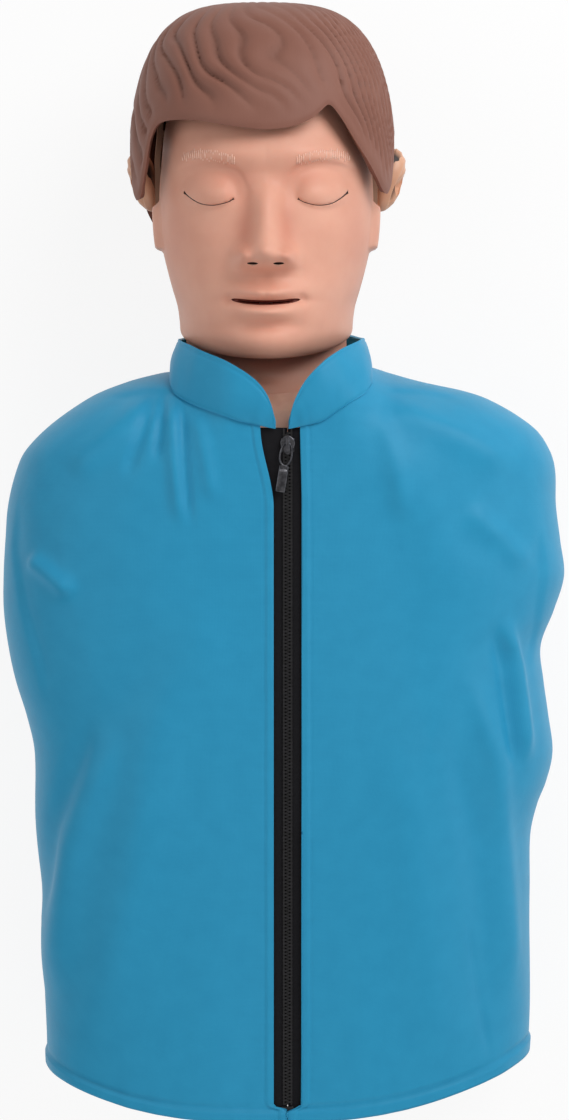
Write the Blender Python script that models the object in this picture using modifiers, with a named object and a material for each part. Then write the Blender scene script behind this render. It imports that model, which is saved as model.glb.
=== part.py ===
"""Half-body CPR training manikin, lying on its back.

X runs across the chest towards the manikin's left arm, Y runs up to the head and Z comes out of
the chest. Everything is in metres. The origin is on the surface it lies on, under the middle of
its overall length and width.
"""

import math

import bmesh
import bpy
from mathutils import Matrix, Vector

# Overall reach along the body
HEM_Y = -0.3645
CROWN_Y = 0.3645

# Torso, hard shells
TORSO_END_Y = -0.342
TORSO_TOP_Y = 0.116
WAIST_HALF_WIDTH = 0.150
CHEST_HALF_WIDTH = 0.164
TORSO_CORNER = 5.0
SHELL_FLOOR_Z = 0.0016
SHELL_WALL = 0.0035
RIM_Z = 0.095
SHELL_CORNER = 0.026
DOME_CORNER = 4.2
BASE_DEPTH = 0.0026
FIT_GAP = 0.0003
SLIDE_GAP = 0.0012

# The line of the zip, which the whole front follows
ZIP_X = 0.002
ZIP_TOP_Y = 0.081
ZIP_END_Y = -0.3535
ZIP_MID_Z = 0.1965
ZIP_SLOPE = 0.040
JACKET_STAND_OFF = 0.0085

# Chest, the part that is pressed
CHEST_TOP_Y = 0.030
CHEST_PLAY = 0.004
SKIN_WALL = 0.0035
SKIRT_OVERLAP = 0.014
PLATE_WALL = 0.004
PLATE_DROP = 0.0075
PLATE_HALF_WIDTH = 0.118
PLATE_TOP_Y = 0.012
PLATE_END_Y = -0.255
RIB_COUNT = 6
RIB_HEIGHT = 0.0022
PRESS_Y = -0.075
ROD_RADIUS = 0.0115
ROD_REACH = 0.108
GUIDE_BORE = 0.0125
GUIDE_RADIUS = 0.0165
GUIDE_TOP_Z = 0.098
GUIDE_FLANGE_RADIUS = 0.042
GUIDE_FLANGE = 0.004
SPRING_RADIUS = 0.0255
SPRING_WIRE = 0.0019
SPRING_TURNS = 6
SEAT_RADIUS = 0.036
SEAT_DEPTH = 0.005
BAG_DEPTH = 0.0022
PAD_DEPTH = 0.0026

# Neck, which stands a little to the right of the zip
NECK_X = -0.0120
PIVOT_Y = 0.225
PIVOT_Z = 0.095
NECK_Z = 0.105
NECK_HALF_WIDTH = 0.0545
NECK_HALF_DEPTH = 0.0550
NECK_TOP_WIDTH = 0.0430
NECK_TOP_DEPTH = 0.0430
NECK_WALL = 0.003
NECK_BASE_Y = 0.088
NECK_FRONT_Y = 0.172
NECK_NAPE_Y = 0.190
NECK_HOLE_PLAY = 0.0012
AXLE_RADIUS = 0.0040
AXLE_PLAY = 0.0003
FORK_PLATE = 0.005
BEAM_HALF_DEPTH = 0.012
KNUCKLE_RADIUS = 0.013
KNUCKLE_HALF_WIDTH = 0.013
WASHER = 0.0012
WASHER_RADIUS = 0.0105
SCREW_RADIUS = 0.0020
SCREW_HEAD = 0.0040

# Head
HEAD_Y = 0.248
HEAD_Z = 0.105
SKULL_HALF_WIDTH = 0.0745
SKULL_CROWN = 0.1045
SKULL_BASE = 0.0850
SKULL_FRONT = 0.0880
SKULL_BACK = 0.0820
SKULL_WALL = 0.0035
SKULL_END_Y = 0.196
SKULL_SPLIT_Z = 0.1100
HEAD_FULLNESS = 2.5
HAIR_HALF_WIDTH = 0.0868
HAIR_FRONT = 0.1045
HAIR_BACK = 0.0915
HAIR_WALL = 0.0048
HAIR_WAVE = 0.0012
MASK_WALL = 0.003
MASK_FLARE = 0.0045
FACE_INSET = 0.0065
FACE_WALL = 0.003
EAR_X = 0.0815
EAR_Y = 0.2495
EAR_Z = 0.1035
EAR_HALF_HEIGHT = 0.0210
EAR_HALF_DEPTH = 0.0130
EAR_HALF_THICKNESS = 0.0095
EAR_LEAN = 14

# Mouth and jaw
MOUTH_Y = 0.1620
MOUTH_HALF_WIDTH = 0.0225
MOUTH_GAPE = 0.0042
PORT_WIDTH = 0.0400
PORT_HEIGHT = 0.0165
PORT_TOP_Z = 0.1895
PORT_WALL = 0.0050
JAW_PIVOT_Y = 0.232
JAW_PIVOT_Z = 0.124
JAW_PIN_RADIUS = 0.0025
JAW_ARM_X = 0.0450
JAW_ARM_THICKNESS = 0.0045
JAW_ARM_DEPTH = 0.010
JAW_WALL = 0.004
JAW_INSET = 0.0062

# Jacket
CLOTH = 0.0011
SEAM_GAP = 0.0006
SIDE_SEAM_Z = 0.050
JACKET_TOP_Y = 0.1230
JACKET_BEND_Y = 0.030
JACKET_FLOOR_Z = 0.0011
BACK_FULLNESS = 0.006
NECKLINE_Y = 0.135
NECKLINE_X = -0.0058
NECKLINE_HALF_WIDTH = 0.0700
NECKLINE_REACH = 0.0560
NECKLINE_BACK_Z = 0.030
COLLAR_X = -0.0090
COLLAR_CLOTH = 0.0018
HEM_BAND = 0.009
HEM_RISE = 0.030
HEM_ROLL = 0.0012

# Zip
TAPE_EDGE = 0.0029
TAPE_REACH = 0.0125
TAPE = 0.0008
PANEL_EDGE = 0.0088
TOOTH_PITCH = 0.0130
TOOTH_REACH = 0.0014
TOOTH_WIDTH = 0.0040
TOOTH_DEPTH = 0.0022
BEAD_INNER = 0.0012
BEAD_OUTER = 0.0026
SLIDER_Y = 0.0700
SLIDER_LENGTH = 0.0120
SLIDER_HALF_WIDTH = 0.0044
SLIDER_PLATE = 0.0013
SLIDER_FLANGE = 0.0012
BRIDGE_HEIGHT = 0.0032
RING_WIRE = 0.0007
RING_LENGTH = 0.0140
RING_HALF_WIDTH = 0.0042
TAB_LENGTH = 0.0165
TAB_HALF_WIDTH = 0.0032
TAB_THICKNESS = 0.0012


def through(stations, place):
    """Smooth value at place, from (place, value) stations in rising order."""
    if place <= stations[0][0]:
        return stations[0][1]
    if place >= stations[-1][0]:
        return stations[-1][1]
    last = len(stations) - 1
    index = max(i for i in range(last) if stations[i][0] <= place)
    x0, y0 = stations[index]
    x1, y1 = stations[index + 1]
    before = stations[max(index - 1, 0)]
    after = stations[min(index + 2, last)]
    rise_0 = (y1 - before[1]) / (x1 - before[0])
    rise_1 = (after[1] - y0) / (after[0] - x0)
    span = x1 - x0
    t = (place - x0) / span
    h00 = (1 + 2 * t) * (1 - t) ** 2
    h10 = t * (1 - t) ** 2
    h01 = t * t * (3 - 2 * t)
    h11 = t * t * (t - 1)
    return h00 * y0 + h10 * span * rise_0 + h01 * y1 + h11 * span * rise_1


def eased(value):
    """0 to 1 with soft ends."""
    t = min(max(value, 0.0), 1.0)
    return t * t * (3 - 2 * t)


def bump(x, y, at_x, at_y, wide, tall):
    """A soft hill of height 1 on the plane."""
    return math.exp(-(((x - at_x) / wide) ** 2) - ((y - at_y) / tall) ** 2)


def power(value, exponent):
    """A power that keeps the sign."""
    return math.copysign(abs(value) ** exponent, value)


def clear_scene():
    for item in list(bpy.data.objects):
        bpy.data.objects.remove(item)


def collection(name):
    made = bpy.data.collections.new(name)
    bpy.context.scene.collection.children.link(made)
    return made


def finish_of(name, colour, roughness, metallic=0.0):
    made = bpy.data.materials.new(name)
    made.use_nodes = True
    shader = made.node_tree.nodes["Principled BSDF"]
    shader.inputs["Base Color"].default_value = (*colour, 1)
    shader.inputs["Roughness"].default_value = roughness
    shader.inputs["Metallic"].default_value = metallic
    made.diffuse_color = (*colour, 1)
    return made


def name_part(item, name, finish):
    item.name = name
    item.data.name = name
    item.data.materials.clear()
    item.data.materials.append(finish)
    for owner in list(item.users_collection):
        owner.objects.unlink(item)
    PARTS.objects.link(item)
    return item


def smooth(item, angle=40):
    item.data.shade_smooth()
    item.data.set_sharp_from_angle(angle=math.radians(angle))


def applied(item):
    """The same object with its modifiers made part of its mesh."""
    graph = bpy.context.evaluated_depsgraph_get()
    mesh = bpy.data.meshes.new_from_object(item.evaluated_get(graph))
    item.modifiers.clear()
    if item.type == "MESH":
        item.data = mesh
        return item
    made = bpy.data.objects.new(item.name, mesh)
    bpy.context.scene.collection.objects.link(made)
    made.matrix_world = item.matrix_world.copy()
    bpy.data.objects.remove(item)
    weld(made)
    return made


def weld(item, distance=1e-5):
    work = bmesh.new()
    work.from_mesh(item.data)
    bmesh.ops.remove_doubles(work, verts=work.verts, dist=distance)
    work.to_mesh(item.data)
    work.free()


def sheet(columns, rows, place, wall, grow=-1.0, closed=False):
    """A shell: a grid whose points go to place(across, along), both 0 to 1, then given a wall."""
    bpy.ops.mesh.primitive_grid_add(x_subdivisions=columns, y_subdivisions=rows, size=1)
    item = bpy.context.object
    for vertex in item.data.vertices:
        vertex.co = place(vertex.co.x + 0.5, vertex.co.y + 0.5)
    if closed:
        weld(item)
    if wall:
        shell = item.modifiers.new("wall", "SOLIDIFY")
        shell.thickness = wall
        shell.offset = grow
    return item


def turned(profile, steps=32):
    """A turned piece about Z from an (radius, height) profile that runs down its outer side."""
    mesh = bpy.data.meshes.new("turned")
    mesh.from_pydata([(r, 0, z) for r, z in profile], [(i, i + 1) for i in range(len(profile) - 1)], [])
    item = bpy.data.objects.new("turned", mesh)
    bpy.context.scene.collection.objects.link(item)
    spin = item.modifiers.new("turn", "SCREW")
    spin.steps = spin.render_steps = steps
    spin.use_merge_vertices = True
    spin.merge_threshold = 1e-5
    applied(item)
    weld(item)
    return item


def rod(radius, length, sides=24):
    """A cylinder along Z, centred on the origin."""
    bpy.ops.mesh.primitive_cylinder_add(radius=radius, depth=length, vertices=sides)
    return bpy.context.object


def block(size, centre, rounding=0.0):
    bpy.ops.mesh.primitive_cube_add(size=1, location=centre)
    item = bpy.context.object
    item.data.transform(Matrix.Diagonal((*size, 1)))
    if rounding:
        edge = item.modifiers.new("edges", "BEVEL")
        edge.width = rounding
        edge.segments = 2
    return item


def flat(outline, depth):
    """A flat piece in the XY plane, centred on it, from an outline of points."""
    curve = bpy.data.curves.new("flat", "CURVE")
    curve.dimensions = "2D"
    curve.fill_mode = "BOTH"
    curve.extrude = depth / 2
    line = curve.splines.new("POLY")
    line.points.add(len(outline) - 1)
    for point, (x, y) in zip(line.points, outline):
        point.co = (x, y, 0, 1)
    line.use_cyclic_u = True
    item = bpy.data.objects.new("flat", curve)
    bpy.context.scene.collection.objects.link(item)
    return applied(item)


def wire(points, radius, resolution=2, cyclic=False):
    """A round wire or tube through points."""
    curve = bpy.data.curves.new("wire", "CURVE")
    curve.dimensions = "3D"
    curve.bevel_depth = radius
    curve.bevel_resolution = resolution
    curve.use_fill_caps = not cyclic
    line = curve.splines.new("POLY")
    line.points.add(len(points) - 1)
    for point, place in zip(line.points, points):
        point.co = (*place, 1)
    line.use_cyclic_u = cyclic
    item = bpy.data.objects.new("wire", curve)
    bpy.context.scene.collection.objects.link(item)
    return applied(item)


def put(item, matrix):
    """Moves the mesh itself, so that the object stays unturned."""
    item.data.transform(matrix)
    return item


def combine(base, other, operation):
    """Cuts other out of base, or joins it on, and removes other."""
    join = base.modifiers.new("join", "BOOLEAN")
    join.operation = operation
    join.object = other
    applied(base)
    bpy.data.objects.remove(other)
    return base


def join(base, *others):
    for other in others:
        combine(base, other, "UNION")
    return base


def cut(base, *others):
    for other in others:
        combine(base, other, "DIFFERENCE")
    return base


def arc(centre_x, centre_y, radius, start, end, steps):
    """Points of an arc, with its angles in degrees."""
    for i in range(steps + 1):
        angle = math.radians(start + (end - start) * i / steps)
        yield (centre_x + radius * math.cos(angle), centre_y + radius * math.sin(angle))


# Torso

TORSO_MID_Y = (TORSO_TOP_Y + TORSO_END_Y) / 2
TORSO_HALF_LENGTH = (TORSO_TOP_Y - TORSO_END_Y) / 2
ALONG_Y = Matrix.Rotation(math.radians(-90), 4, "X")
ALONG_X = Matrix.Rotation(math.radians(90), 4, "Y")


def half_width(y):
    """Half width of the hard torso at y."""
    share = (y - TORSO_END_Y) / (TORSO_TOP_Y - TORSO_END_Y)
    return WAIST_HALF_WIDTH + (CHEST_HALF_WIDTH - WAIST_HALF_WIDTH) * eased(share * 1.3)


def outline(turn, inset=0.0, scale=1.0, top=TORSO_TOP_Y):
    """A point of the torso's plan outline at turn, 0 to 1 round it."""
    angle = 2 * math.pi * turn
    rise = power(math.sin(angle), 2 / TORSO_CORNER)
    reach = top - TORSO_MID_Y if rise > 0 else TORSO_HALF_LENGTH
    y = TORSO_MID_Y + (reach - inset) * rise
    x = (half_width(y) - inset) * power(math.cos(angle), 2 / TORSO_CORNER)
    return x * scale, TORSO_MID_Y + (y - TORSO_MID_Y) * scale


def zip_z(y):
    """Height of the zip's chain, which runs straight down the front."""
    return ZIP_MID_Z + ZIP_SLOPE * y


def dome_z(radial, y):
    """Height of the rigid front at a share of the way out to its rim."""
    middle = zip_z(y) - JACKET_STAND_OFF
    fall = max(1 - radial**DOME_CORNER, 0) ** (1 / DOME_CORNER)
    return RIM_Z + (middle - RIM_Z) * fall


def radial_of(x, y, inset=0.0):
    """How far out a point of the plan is, from 0 in the middle to 1 at the outline."""
    side = abs(x) / (half_width(y) - inset)
    end = abs(y - TORSO_MID_Y) / (TORSO_HALF_LENGTH - inset)
    return min((side**TORSO_CORNER + end**TORSO_CORNER) ** (1 / TORSO_CORNER), 1.0)


def ring_sheet(columns, rings, wall, grow=-1.0):
    """A bowl or dome whose rings are functions of the turn, from its middle out to its rim."""
    last = len(rings) - 1
    return sheet(columns, last, lambda u, v: rings[round(v * last)](u), wall, grow, closed=True)


def flat_ring(scale, z, **sides):
    return lambda turn: Vector((*outline(turn, scale=scale, **sides), z))


def wall_ring(inset, z, **sides):
    return lambda turn: Vector((*outline(turn, inset=inset, **sides), z))


def dome_ring(scale, inset, **sides):
    def place(turn):
        x, y = outline(turn, inset=inset, scale=scale, **sides)
        return Vector((x, y, dome_z(radial_of(x, y, inset), y)))

    return place


def neck_hole():
    """Cutter for the hole in the shells that the neck passes through."""
    hole = put(rod(1.0, 0.08, 32), ALONG_Y)
    wide = NECK_HALF_WIDTH + NECK_HOLE_PLAY
    deep = NECK_HALF_DEPTH + NECK_HOLE_PLAY
    put(hole, Matrix.Diagonal((wide, 1, deep, 1)))
    hole.location = (NECK_X, TORSO_TOP_Y, NECK_Z)
    return hole


def back_shell():
    """The hard tub that forms the back and the sides."""
    rings = [flat_ring(s, SHELL_FLOOR_Z) for s in (0.0, 0.4, 0.8)]
    for step in range(4):
        angle = math.radians(30 * step)
        inset = SHELL_CORNER * (1 - math.sin(angle))
        rings.append(wall_ring(inset, SHELL_FLOOR_Z + SHELL_CORNER * (1 - math.cos(angle))))
    rings.append(wall_ring(0.0, RIM_Z))
    shell = applied(ring_sheet(36, rings, SHELL_WALL))
    cut(shell, neck_hole())
    guide = turned(
        [
            (GUIDE_BORE, GUIDE_TOP_Z),
            (GUIDE_RADIUS, GUIDE_TOP_Z),
            (GUIDE_RADIUS, SHELL_FLOOR_Z + SHELL_WALL + GUIDE_FLANGE),
            (GUIDE_FLANGE_RADIUS, SHELL_FLOOR_Z + SHELL_WALL + GUIDE_FLANGE),
            (GUIDE_FLANGE_RADIUS, SHELL_FLOOR_Z + BASE_DEPTH),
            (GUIDE_BORE, SHELL_FLOOR_Z + BASE_DEPTH),
            (GUIDE_BORE, GUIDE_TOP_Z),
        ]
    )
    guide.location = (0, PRESS_Y, 0)
    join(shell, guide)
    return name_part(shell, "back_shell", PLASTIC)


def shoulder_shell():
    """The fixed hard front above the chest, with the hole that the neck comes out of."""
    rings = [dome_ring(s, 0.0) for s in (0.0, 0.45, 0.7, 0.82, 0.9, 0.95, 0.98, 0.995)]
    rings.append(wall_ring(0.0, RIM_Z + FIT_GAP))
    shell = applied(ring_sheet(36, rings, SHELL_WALL, grow=1.0))
    keep_from = CHEST_TOP_Y + CHEST_PLAY
    cut(shell, block((0.5, 0.6, 0.5), (0, keep_from - 0.3, 0.1)))
    cut(shell, neck_hole())
    cut(shell, block((0.5, 0.5, 0.05), (0, 0, RIM_Z + FIT_GAP - 0.025)))
    return name_part(shell, "shoulder_shell", PLASTIC)


CHEST_INSET = SHELL_WALL + SLIDE_GAP
CHEST_SIDES = {"top": CHEST_TOP_Y + CHEST_INSET}


def chest_skin():
    """The soft front that is pressed: a dome with breast and navel relief and a skirt inside the tub."""
    rings = [dome_ring(s, CHEST_INSET, **CHEST_SIDES) for s in (0.0, 0.2, 0.4, 0.6, 0.75, 0.86, 0.94, 0.985)]
    rings.append(wall_ring(CHEST_INSET, RIM_Z, **CHEST_SIDES))
    rings.append(wall_ring(CHEST_INSET, RIM_Z - SKIRT_OVERLAP, **CHEST_SIDES))
    skin = ring_sheet(36, rings, SKIN_WALL, grow=1.0)
    for vertex in skin.data.vertices:
        x, y, z = vertex.co
        if z > RIM_Z + 0.03:
            breast = bump(abs(x), y, 0.066, -0.035, 0.045, 0.045)
            nipple = bump(abs(x), y, 0.082, -0.052, 0.006, 0.006)
            navel = bump(x, y, 0.0, -0.262, 0.008, 0.010)
            vertex.co.z += 0.0035 * breast + 0.0015 * nipple - 0.003 * navel
    return name_part(skin, "chest_skin", SKIN)


def plate_z(x, y):
    """Height of the rib plate without its ribs."""
    return dome_z(min(radial_of(x, y, CHEST_INSET) * 1.03, 1), y) - SKIN_WALL - PLATE_DROP


def plate_place(across, along):
    """The rib plate, with raised ribs that run out and down from the breastbone."""
    x = (across - 0.5) * 2 * PLATE_HALF_WIDTH
    y = PLATE_END_Y + (PLATE_TOP_Y - PLATE_END_Y) * along
    z = plate_z(x, y)
    rib_share = eased((abs(x) - 0.016) / 0.02)
    wave = math.cos(2 * math.pi * RIB_COUNT * (along + 0.25 * abs(x) / PLATE_HALF_WIDTH))
    return Vector((x, y, z + RIB_HEIGHT * wave * rib_share))


def plate_under_z(y):
    return dome_z(0.3, y) - SKIN_WALL - PLATE_DROP - PLATE_WALL


def chest_plate():
    """The rigid rib plate with the guide rod under it."""
    plate = applied(sheet(12, 14, plate_place, PLATE_WALL))
    top = plate_under_z(PRESS_Y) + 0.001
    post = turned(
        [
            (0, top + 0.0015),
            (SEAT_RADIUS, top + 0.0015),
            (SEAT_RADIUS, top - SEAT_DEPTH),
            (ROD_RADIUS, top - SEAT_DEPTH),
            (ROD_RADIUS, top - ROD_REACH),
            (0, top - ROD_REACH),
        ]
    )
    post.location = (0, PRESS_Y, 0)
    join(plate, post)
    return name_part(plate, "chest_plate", PLATE)


def chest_pads():
    """Soft blocks that carry the skin on the rib plate, one on each side of the breastbone."""
    made = []
    for side, name in ((-1, "skin_pad_right"), (1, "skin_pad_left")):

        def place(across, along, side=side):
            x = side * (0.022 + 0.075 * across)
            y = -0.205 + 0.18 * along
            return Vector((x, y, plate_z(x, y) + RIB_HEIGHT + 2 * FIT_GAP))

        pad = sheet(6, 8, place, PAD_DEPTH, grow=side * 1.0)
        made.append(name_part(pad, name, FOAM))
    return made


def lung_bag():
    """The flat breathing bag that lies over the breastbone, under the skin."""

    def place(across, along):
        x = (across - 0.5) * 0.036
        y = -0.20 + 0.21 * along
        z = dome_z(radial_of(x, y, CHEST_INSET), y) - SKIN_WALL - 0.0048
        return Vector((x, y, z))

    bag = sheet(4, 12, place, BAG_DEPTH)
    return name_part(bag, "lung_bag", CLEAR)


def spring():
    """The compression spring round the guide, from the tub's flange to the plate's seat."""
    low = SHELL_FLOOR_Z + SHELL_WALL + GUIDE_FLANGE + SPRING_WIRE + FIT_GAP
    high = plate_under_z(PRESS_Y) + 0.001 - SEAT_DEPTH - SPRING_WIRE - FIT_GAP
    steps = SPRING_TURNS * 12
    points = []
    for i in range(steps + 1):
        angle = 2 * math.pi * SPRING_TURNS * i / steps
        share = i / steps
        lift = eased((share - 0.07) / 0.86) * 0.15 + 0.85 * min(max((share - 0.09) / 0.82, 0), 1)
        points.append(
            (
                SPRING_RADIUS * math.cos(angle),
                PRESS_Y + SPRING_RADIUS * math.sin(angle),
                low + (high - low) * lift,
            )
        )
    return name_part(wire(points, SPRING_WIRE, resolution=1), "compression_spring", STEEL)


# Neck

NECK_SECTIONS = [
    (NECK_BASE_Y, 1.0),
    (0.118, 1.0),
    (0.128, 0.88),
    (0.140, 0.42),
    (0.152, 0.10),
    (0.172, 0.02),
    (NECK_NAPE_Y, 0.0),
]


def neck_place(across, along):
    """The neck's skin: a round tube that narrows under the jaw, open at both ends."""
    angle = 2 * math.pi * across
    front = 0.5 + 0.5 * math.cos(angle)
    end = NECK_NAPE_Y + (NECK_FRONT_Y - NECK_NAPE_Y) * front
    y = NECK_BASE_Y + (end - NECK_BASE_Y) * along
    base = through(NECK_SECTIONS, y)
    wide = NECK_TOP_WIDTH + (NECK_HALF_WIDTH - NECK_TOP_WIDTH) * base
    deep = NECK_TOP_DEPTH + (NECK_HALF_DEPTH - NECK_TOP_DEPTH) * base
    x = wide * math.sin(angle)
    z = NECK_Z + deep * math.cos(angle)
    if front > 0.5:
        z += 0.0022 * bump(x, y, 0.0, 0.119, 0.008, 0.007)
    return Vector((x, y, z))


def neck_skin():
    skin = sheet(24, 8, neck_place, NECK_WALL, closed=True)
    return name_part(skin, "neck_skin", SKIN)


FORK_INNER = KNUCKLE_HALF_WIDTH + WASHER + 2 * FIT_GAP
FORK_OUTER = FORK_INNER + FORK_PLATE
FOOT_TOP_Z = SHELL_FLOOR_Z + SHELL_WALL + 0.0045
FOOT_Y = 0.058


def screw(name, spot, matrix, length):
    """A round-headed screw whose head sits on spot; it runs down its own Z."""
    body = turned(
        [
            (0, 0.0022),
            (SCREW_HEAD * 0.7, 0.0020),
            (SCREW_HEAD, 0.0008),
            (SCREW_HEAD, 0.0001),
            (SCREW_RADIUS, 0.0001),
            (SCREW_RADIUS, -length),
            (0, -length),
        ],
        steps=16,
    )
    put(body, matrix)
    body.location = spot
    return name_part(body, name, STEEL)


def neck_bracket():
    """The fork that carries the head, on a foot screwed to the back shell."""
    foot_base = SHELL_FLOOR_Z + SHELL_WALL + FIT_GAP
    wide = 2 * FORK_OUTER
    beam = block((wide, 0.184, 2 * BEAM_HALF_DEPTH), (0, 0.147, PIVOT_Z), 0.002)
    applied(beam)
    upright = block((0.026, 0.024, PIVOT_Z - foot_base - 0.002), (0, FOOT_Y, (PIVOT_Z + foot_base - 0.002) / 2))
    foot = block((0.070, 0.050, FOOT_TOP_Z - foot_base), (0, FOOT_Y, (FOOT_TOP_Z + foot_base) / 2))
    join(beam, upright, foot)
    slot = block((2 * FORK_INNER, 0.060, 0.05), (0, PIVOT_Y - KNUCKLE_RADIUS - 0.004 + 0.03, PIVOT_Z))
    bore = put(rod(AXLE_RADIUS + AXLE_PLAY, 0.08), ALONG_X)
    bore.location = (0, PIVOT_Y, PIVOT_Z)
    cut(beam, slot, bore)
    for side in (-1, 1):
        hole = rod(SCREW_RADIUS + FIT_GAP, 0.02, 16)
        hole.location = (side * 0.026, FOOT_Y, FOOT_TOP_Z)
        cut(beam, hole)
    return name_part(beam, "neck_bracket", PLATE)


def neck_hardware():
    axle = name_part(put(rod(AXLE_RADIUS, 2 * FORK_OUTER + 0.004), ALONG_X), "neck_axle", STEEL)
    axle.location = (0, PIVOT_Y, PIVOT_Z)
    for side, end in ((-1, "right"), (1, "left")):
        ring = turned(
            [
                (AXLE_RADIUS + AXLE_PLAY, WASHER / 2),
                (WASHER_RADIUS, WASHER / 2),
                (WASHER_RADIUS, -WASHER / 2),
                (AXLE_RADIUS + AXLE_PLAY, -WASHER / 2),
                (AXLE_RADIUS + AXLE_PLAY, WASHER / 2),
            ],
            steps=24,
        )
        put(ring, ALONG_X)
        ring.location = (side * (KNUCKLE_HALF_WIDTH + FIT_GAP + WASHER / 2), PIVOT_Y, PIVOT_Z)
        name_part(ring, "friction_washer_" + end, FELT)
        spot = (side * 0.026, FOOT_Y, FOOT_TOP_Z)
        screw("bracket_screw_" + end, spot, Matrix.Identity(4), FOOT_TOP_Z - SHELL_FLOOR_Z - SHELL_WALL - 0.0006)


def airway_tube():
    """The soft tube from the mouth down through the neck to the breathing bag."""
    points = [
        (0, 0.1630, 0.1635),
        (0, 0.1660, 0.1600),
        (0, 0.1745, 0.1570),
        (0, 0.1830, 0.1500),
        (0, 0.1850, 0.1400),
        (0, 0.1780, 0.1310),
        (0, 0.1600, 0.1260),
        (0, 0.1300, 0.1250),
        (0, 0.1000, 0.1270),
        (0, 0.0700, 0.1350),
        (0, 0.0450, 0.1480),
    ]
    return name_part(wire(points, 0.0055, resolution=1), "airway_tube", CLEAR)


# Head

BULKHEAD_Y = 0.2790
CROWN_BOSS_Y = 0.347
LEDGE_ROW = 0.203


def ovoid(turn, polar, half, crown, base, front, back):
    """A point of a full ovoid about the middle of the head; turn 0 faces forward, polar 0 is the crown."""
    power_of = 2 / HEAD_FULLNESS
    ring = power(math.sin(polar), power_of)
    high = power(math.cos(polar), power_of)
    deep = math.cos(turn)
    x = half * ring * power(math.sin(turn), 2 / 2.2)
    y = high * (crown if high > 0 else base)
    z = ring * power(deep, 2 / 2.2) * (front if deep > 0 else back)
    return Vector((x, HEAD_Y + y, HEAD_Z + z))


def polar_of(y, crown, base):
    """The polar angle at which an ovoid reaches y."""
    share = (y - HEAD_Y) / (crown if y > HEAD_Y else base)
    return math.acos(power(share, HEAD_FULLNESS / 2))


def skull_place(across, along):
    polar = polar_of(SKULL_END_Y, SKULL_CROWN, SKULL_BASE) * along
    turn = 2 * math.pi * across
    return ovoid(turn, polar, SKULL_HALF_WIDTH, SKULL_CROWN, SKULL_BASE, SKULL_FRONT, SKULL_BACK)


def ear(side):
    """An ear with its hollow, leaning out at the top."""
    bpy.ops.mesh.primitive_uv_sphere_add(segments=16, ring_count=8, radius=1)
    lobe = bpy.context.object
    for vertex in lobe.data.vertices:
        x, y, z = vertex.co
        narrow = 0.80 + 0.20 * y
        vertex.co = (x * EAR_HALF_THICKNESS, y * EAR_HALF_HEIGHT, z * EAR_HALF_DEPTH * narrow)
    bpy.ops.mesh.primitive_uv_sphere_add(segments=12, ring_count=6, radius=1)
    hollow = bpy.context.object
    put(hollow, Matrix.Diagonal((0.0050, 0.0120, 0.0075, 1)))
    hollow.location = (side * 0.0078, 0.002, 0.0040)
    cut(lobe, hollow)
    put(lobe, Matrix.Rotation(math.radians(-side * EAR_LEAN), 4, "Z"))
    put(lobe, Matrix.Translation((side * EAR_X, EAR_Y, EAR_Z)))
    return lobe


def head_shell():
    """The hard back of the head with both ears and the bulkhead that carries the neck joint."""
    shell = applied(sheet(24, 10, skull_place, SKULL_WALL, grow=1.0, closed=True))
    wall = put(rod(1.0, 0.004, 32), ALONG_Y)
    put(wall, Matrix.Diagonal((SKULL_HALF_WIDTH - 0.0035, 1, SKULL_BACK - 0.0035, 1)))
    wall.location = (0, BULKHEAD_Y, HEAD_Z)
    join(shell, wall)
    cut(shell, block((0.4, 0.4, 0.2), (0, HEAD_Y, SKULL_SPLIT_Z + 0.1)))
    crown_top = CROWN_Y - HAIR_WALL - 2 * FIT_GAP
    crown_boss = put(rod(0.004, crown_top - CROWN_BOSS_Y, 16), ALONG_Y)
    crown_boss.location = (0, (crown_top + CROWN_BOSS_Y) / 2, HEAD_Z)
    join(shell, ear(-1), ear(1), crown_boss)
    for side in (-1, 1):
        rest = face_point(side * 0.98, LEDGE_ROW, face_inset(0.98))
        height = rest.z - FIT_GAP - SKULL_SPLIT_Z + 0.010
        middle = (rest.x - side * 0.002, BULKHEAD_Y, rest.z - FIT_GAP - height / 2)
        join(shell, block((0.0055, 0.004, height), middle))
    for side in (-1, 1):
        hole = put(rod(SCREW_RADIUS + FIT_GAP, 0.03, 16), ALONG_Y)
        hole.location = (side * 0.018, BULKHEAD_Y, PIVOT_Z)
        cut(shell, hole)
    return name_part(shell, "head_shell", EAR_SKIN)


def neck_knuckle():
    """The round lug on the head that turns in the fork."""
    front = BULKHEAD_Y - 0.002 - FIT_GAP
    lug = put(rod(KNUCKLE_RADIUS, 2 * KNUCKLE_HALF_WIDTH, 32), ALONG_X)
    put(lug, Matrix.Translation((0, PIVOT_Y, PIVOT_Z)))
    neck = block((0.020, front - PIVOT_Y - 0.002, 0.018), (0, (front + PIVOT_Y) / 2, PIVOT_Z))
    plate = block((0.052, 0.005, 0.022), (0, front - 0.0025, PIVOT_Z))
    join(lug, neck, plate)
    bore = put(rod(AXLE_RADIUS + AXLE_PLAY, 0.08), ALONG_X)
    bore.location = (0, PIVOT_Y, PIVOT_Z)
    cut(lug, bore)
    turn = Matrix.Rotation(math.radians(90), 4, "X")
    for side, end in ((-1, "right"), (1, "left")):
        hole = put(rod(SCREW_RADIUS + FIT_GAP, 0.02, 16), ALONG_Y)
        hole.location = (side * 0.018, front, PIVOT_Z)
        cut(lug, hole)
        screw("knuckle_screw_" + end, (side * 0.018, front - 0.005, PIVOT_Z), turn, 0.0085)
    return name_part(lug, "neck_knuckle", PLATE)


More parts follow.
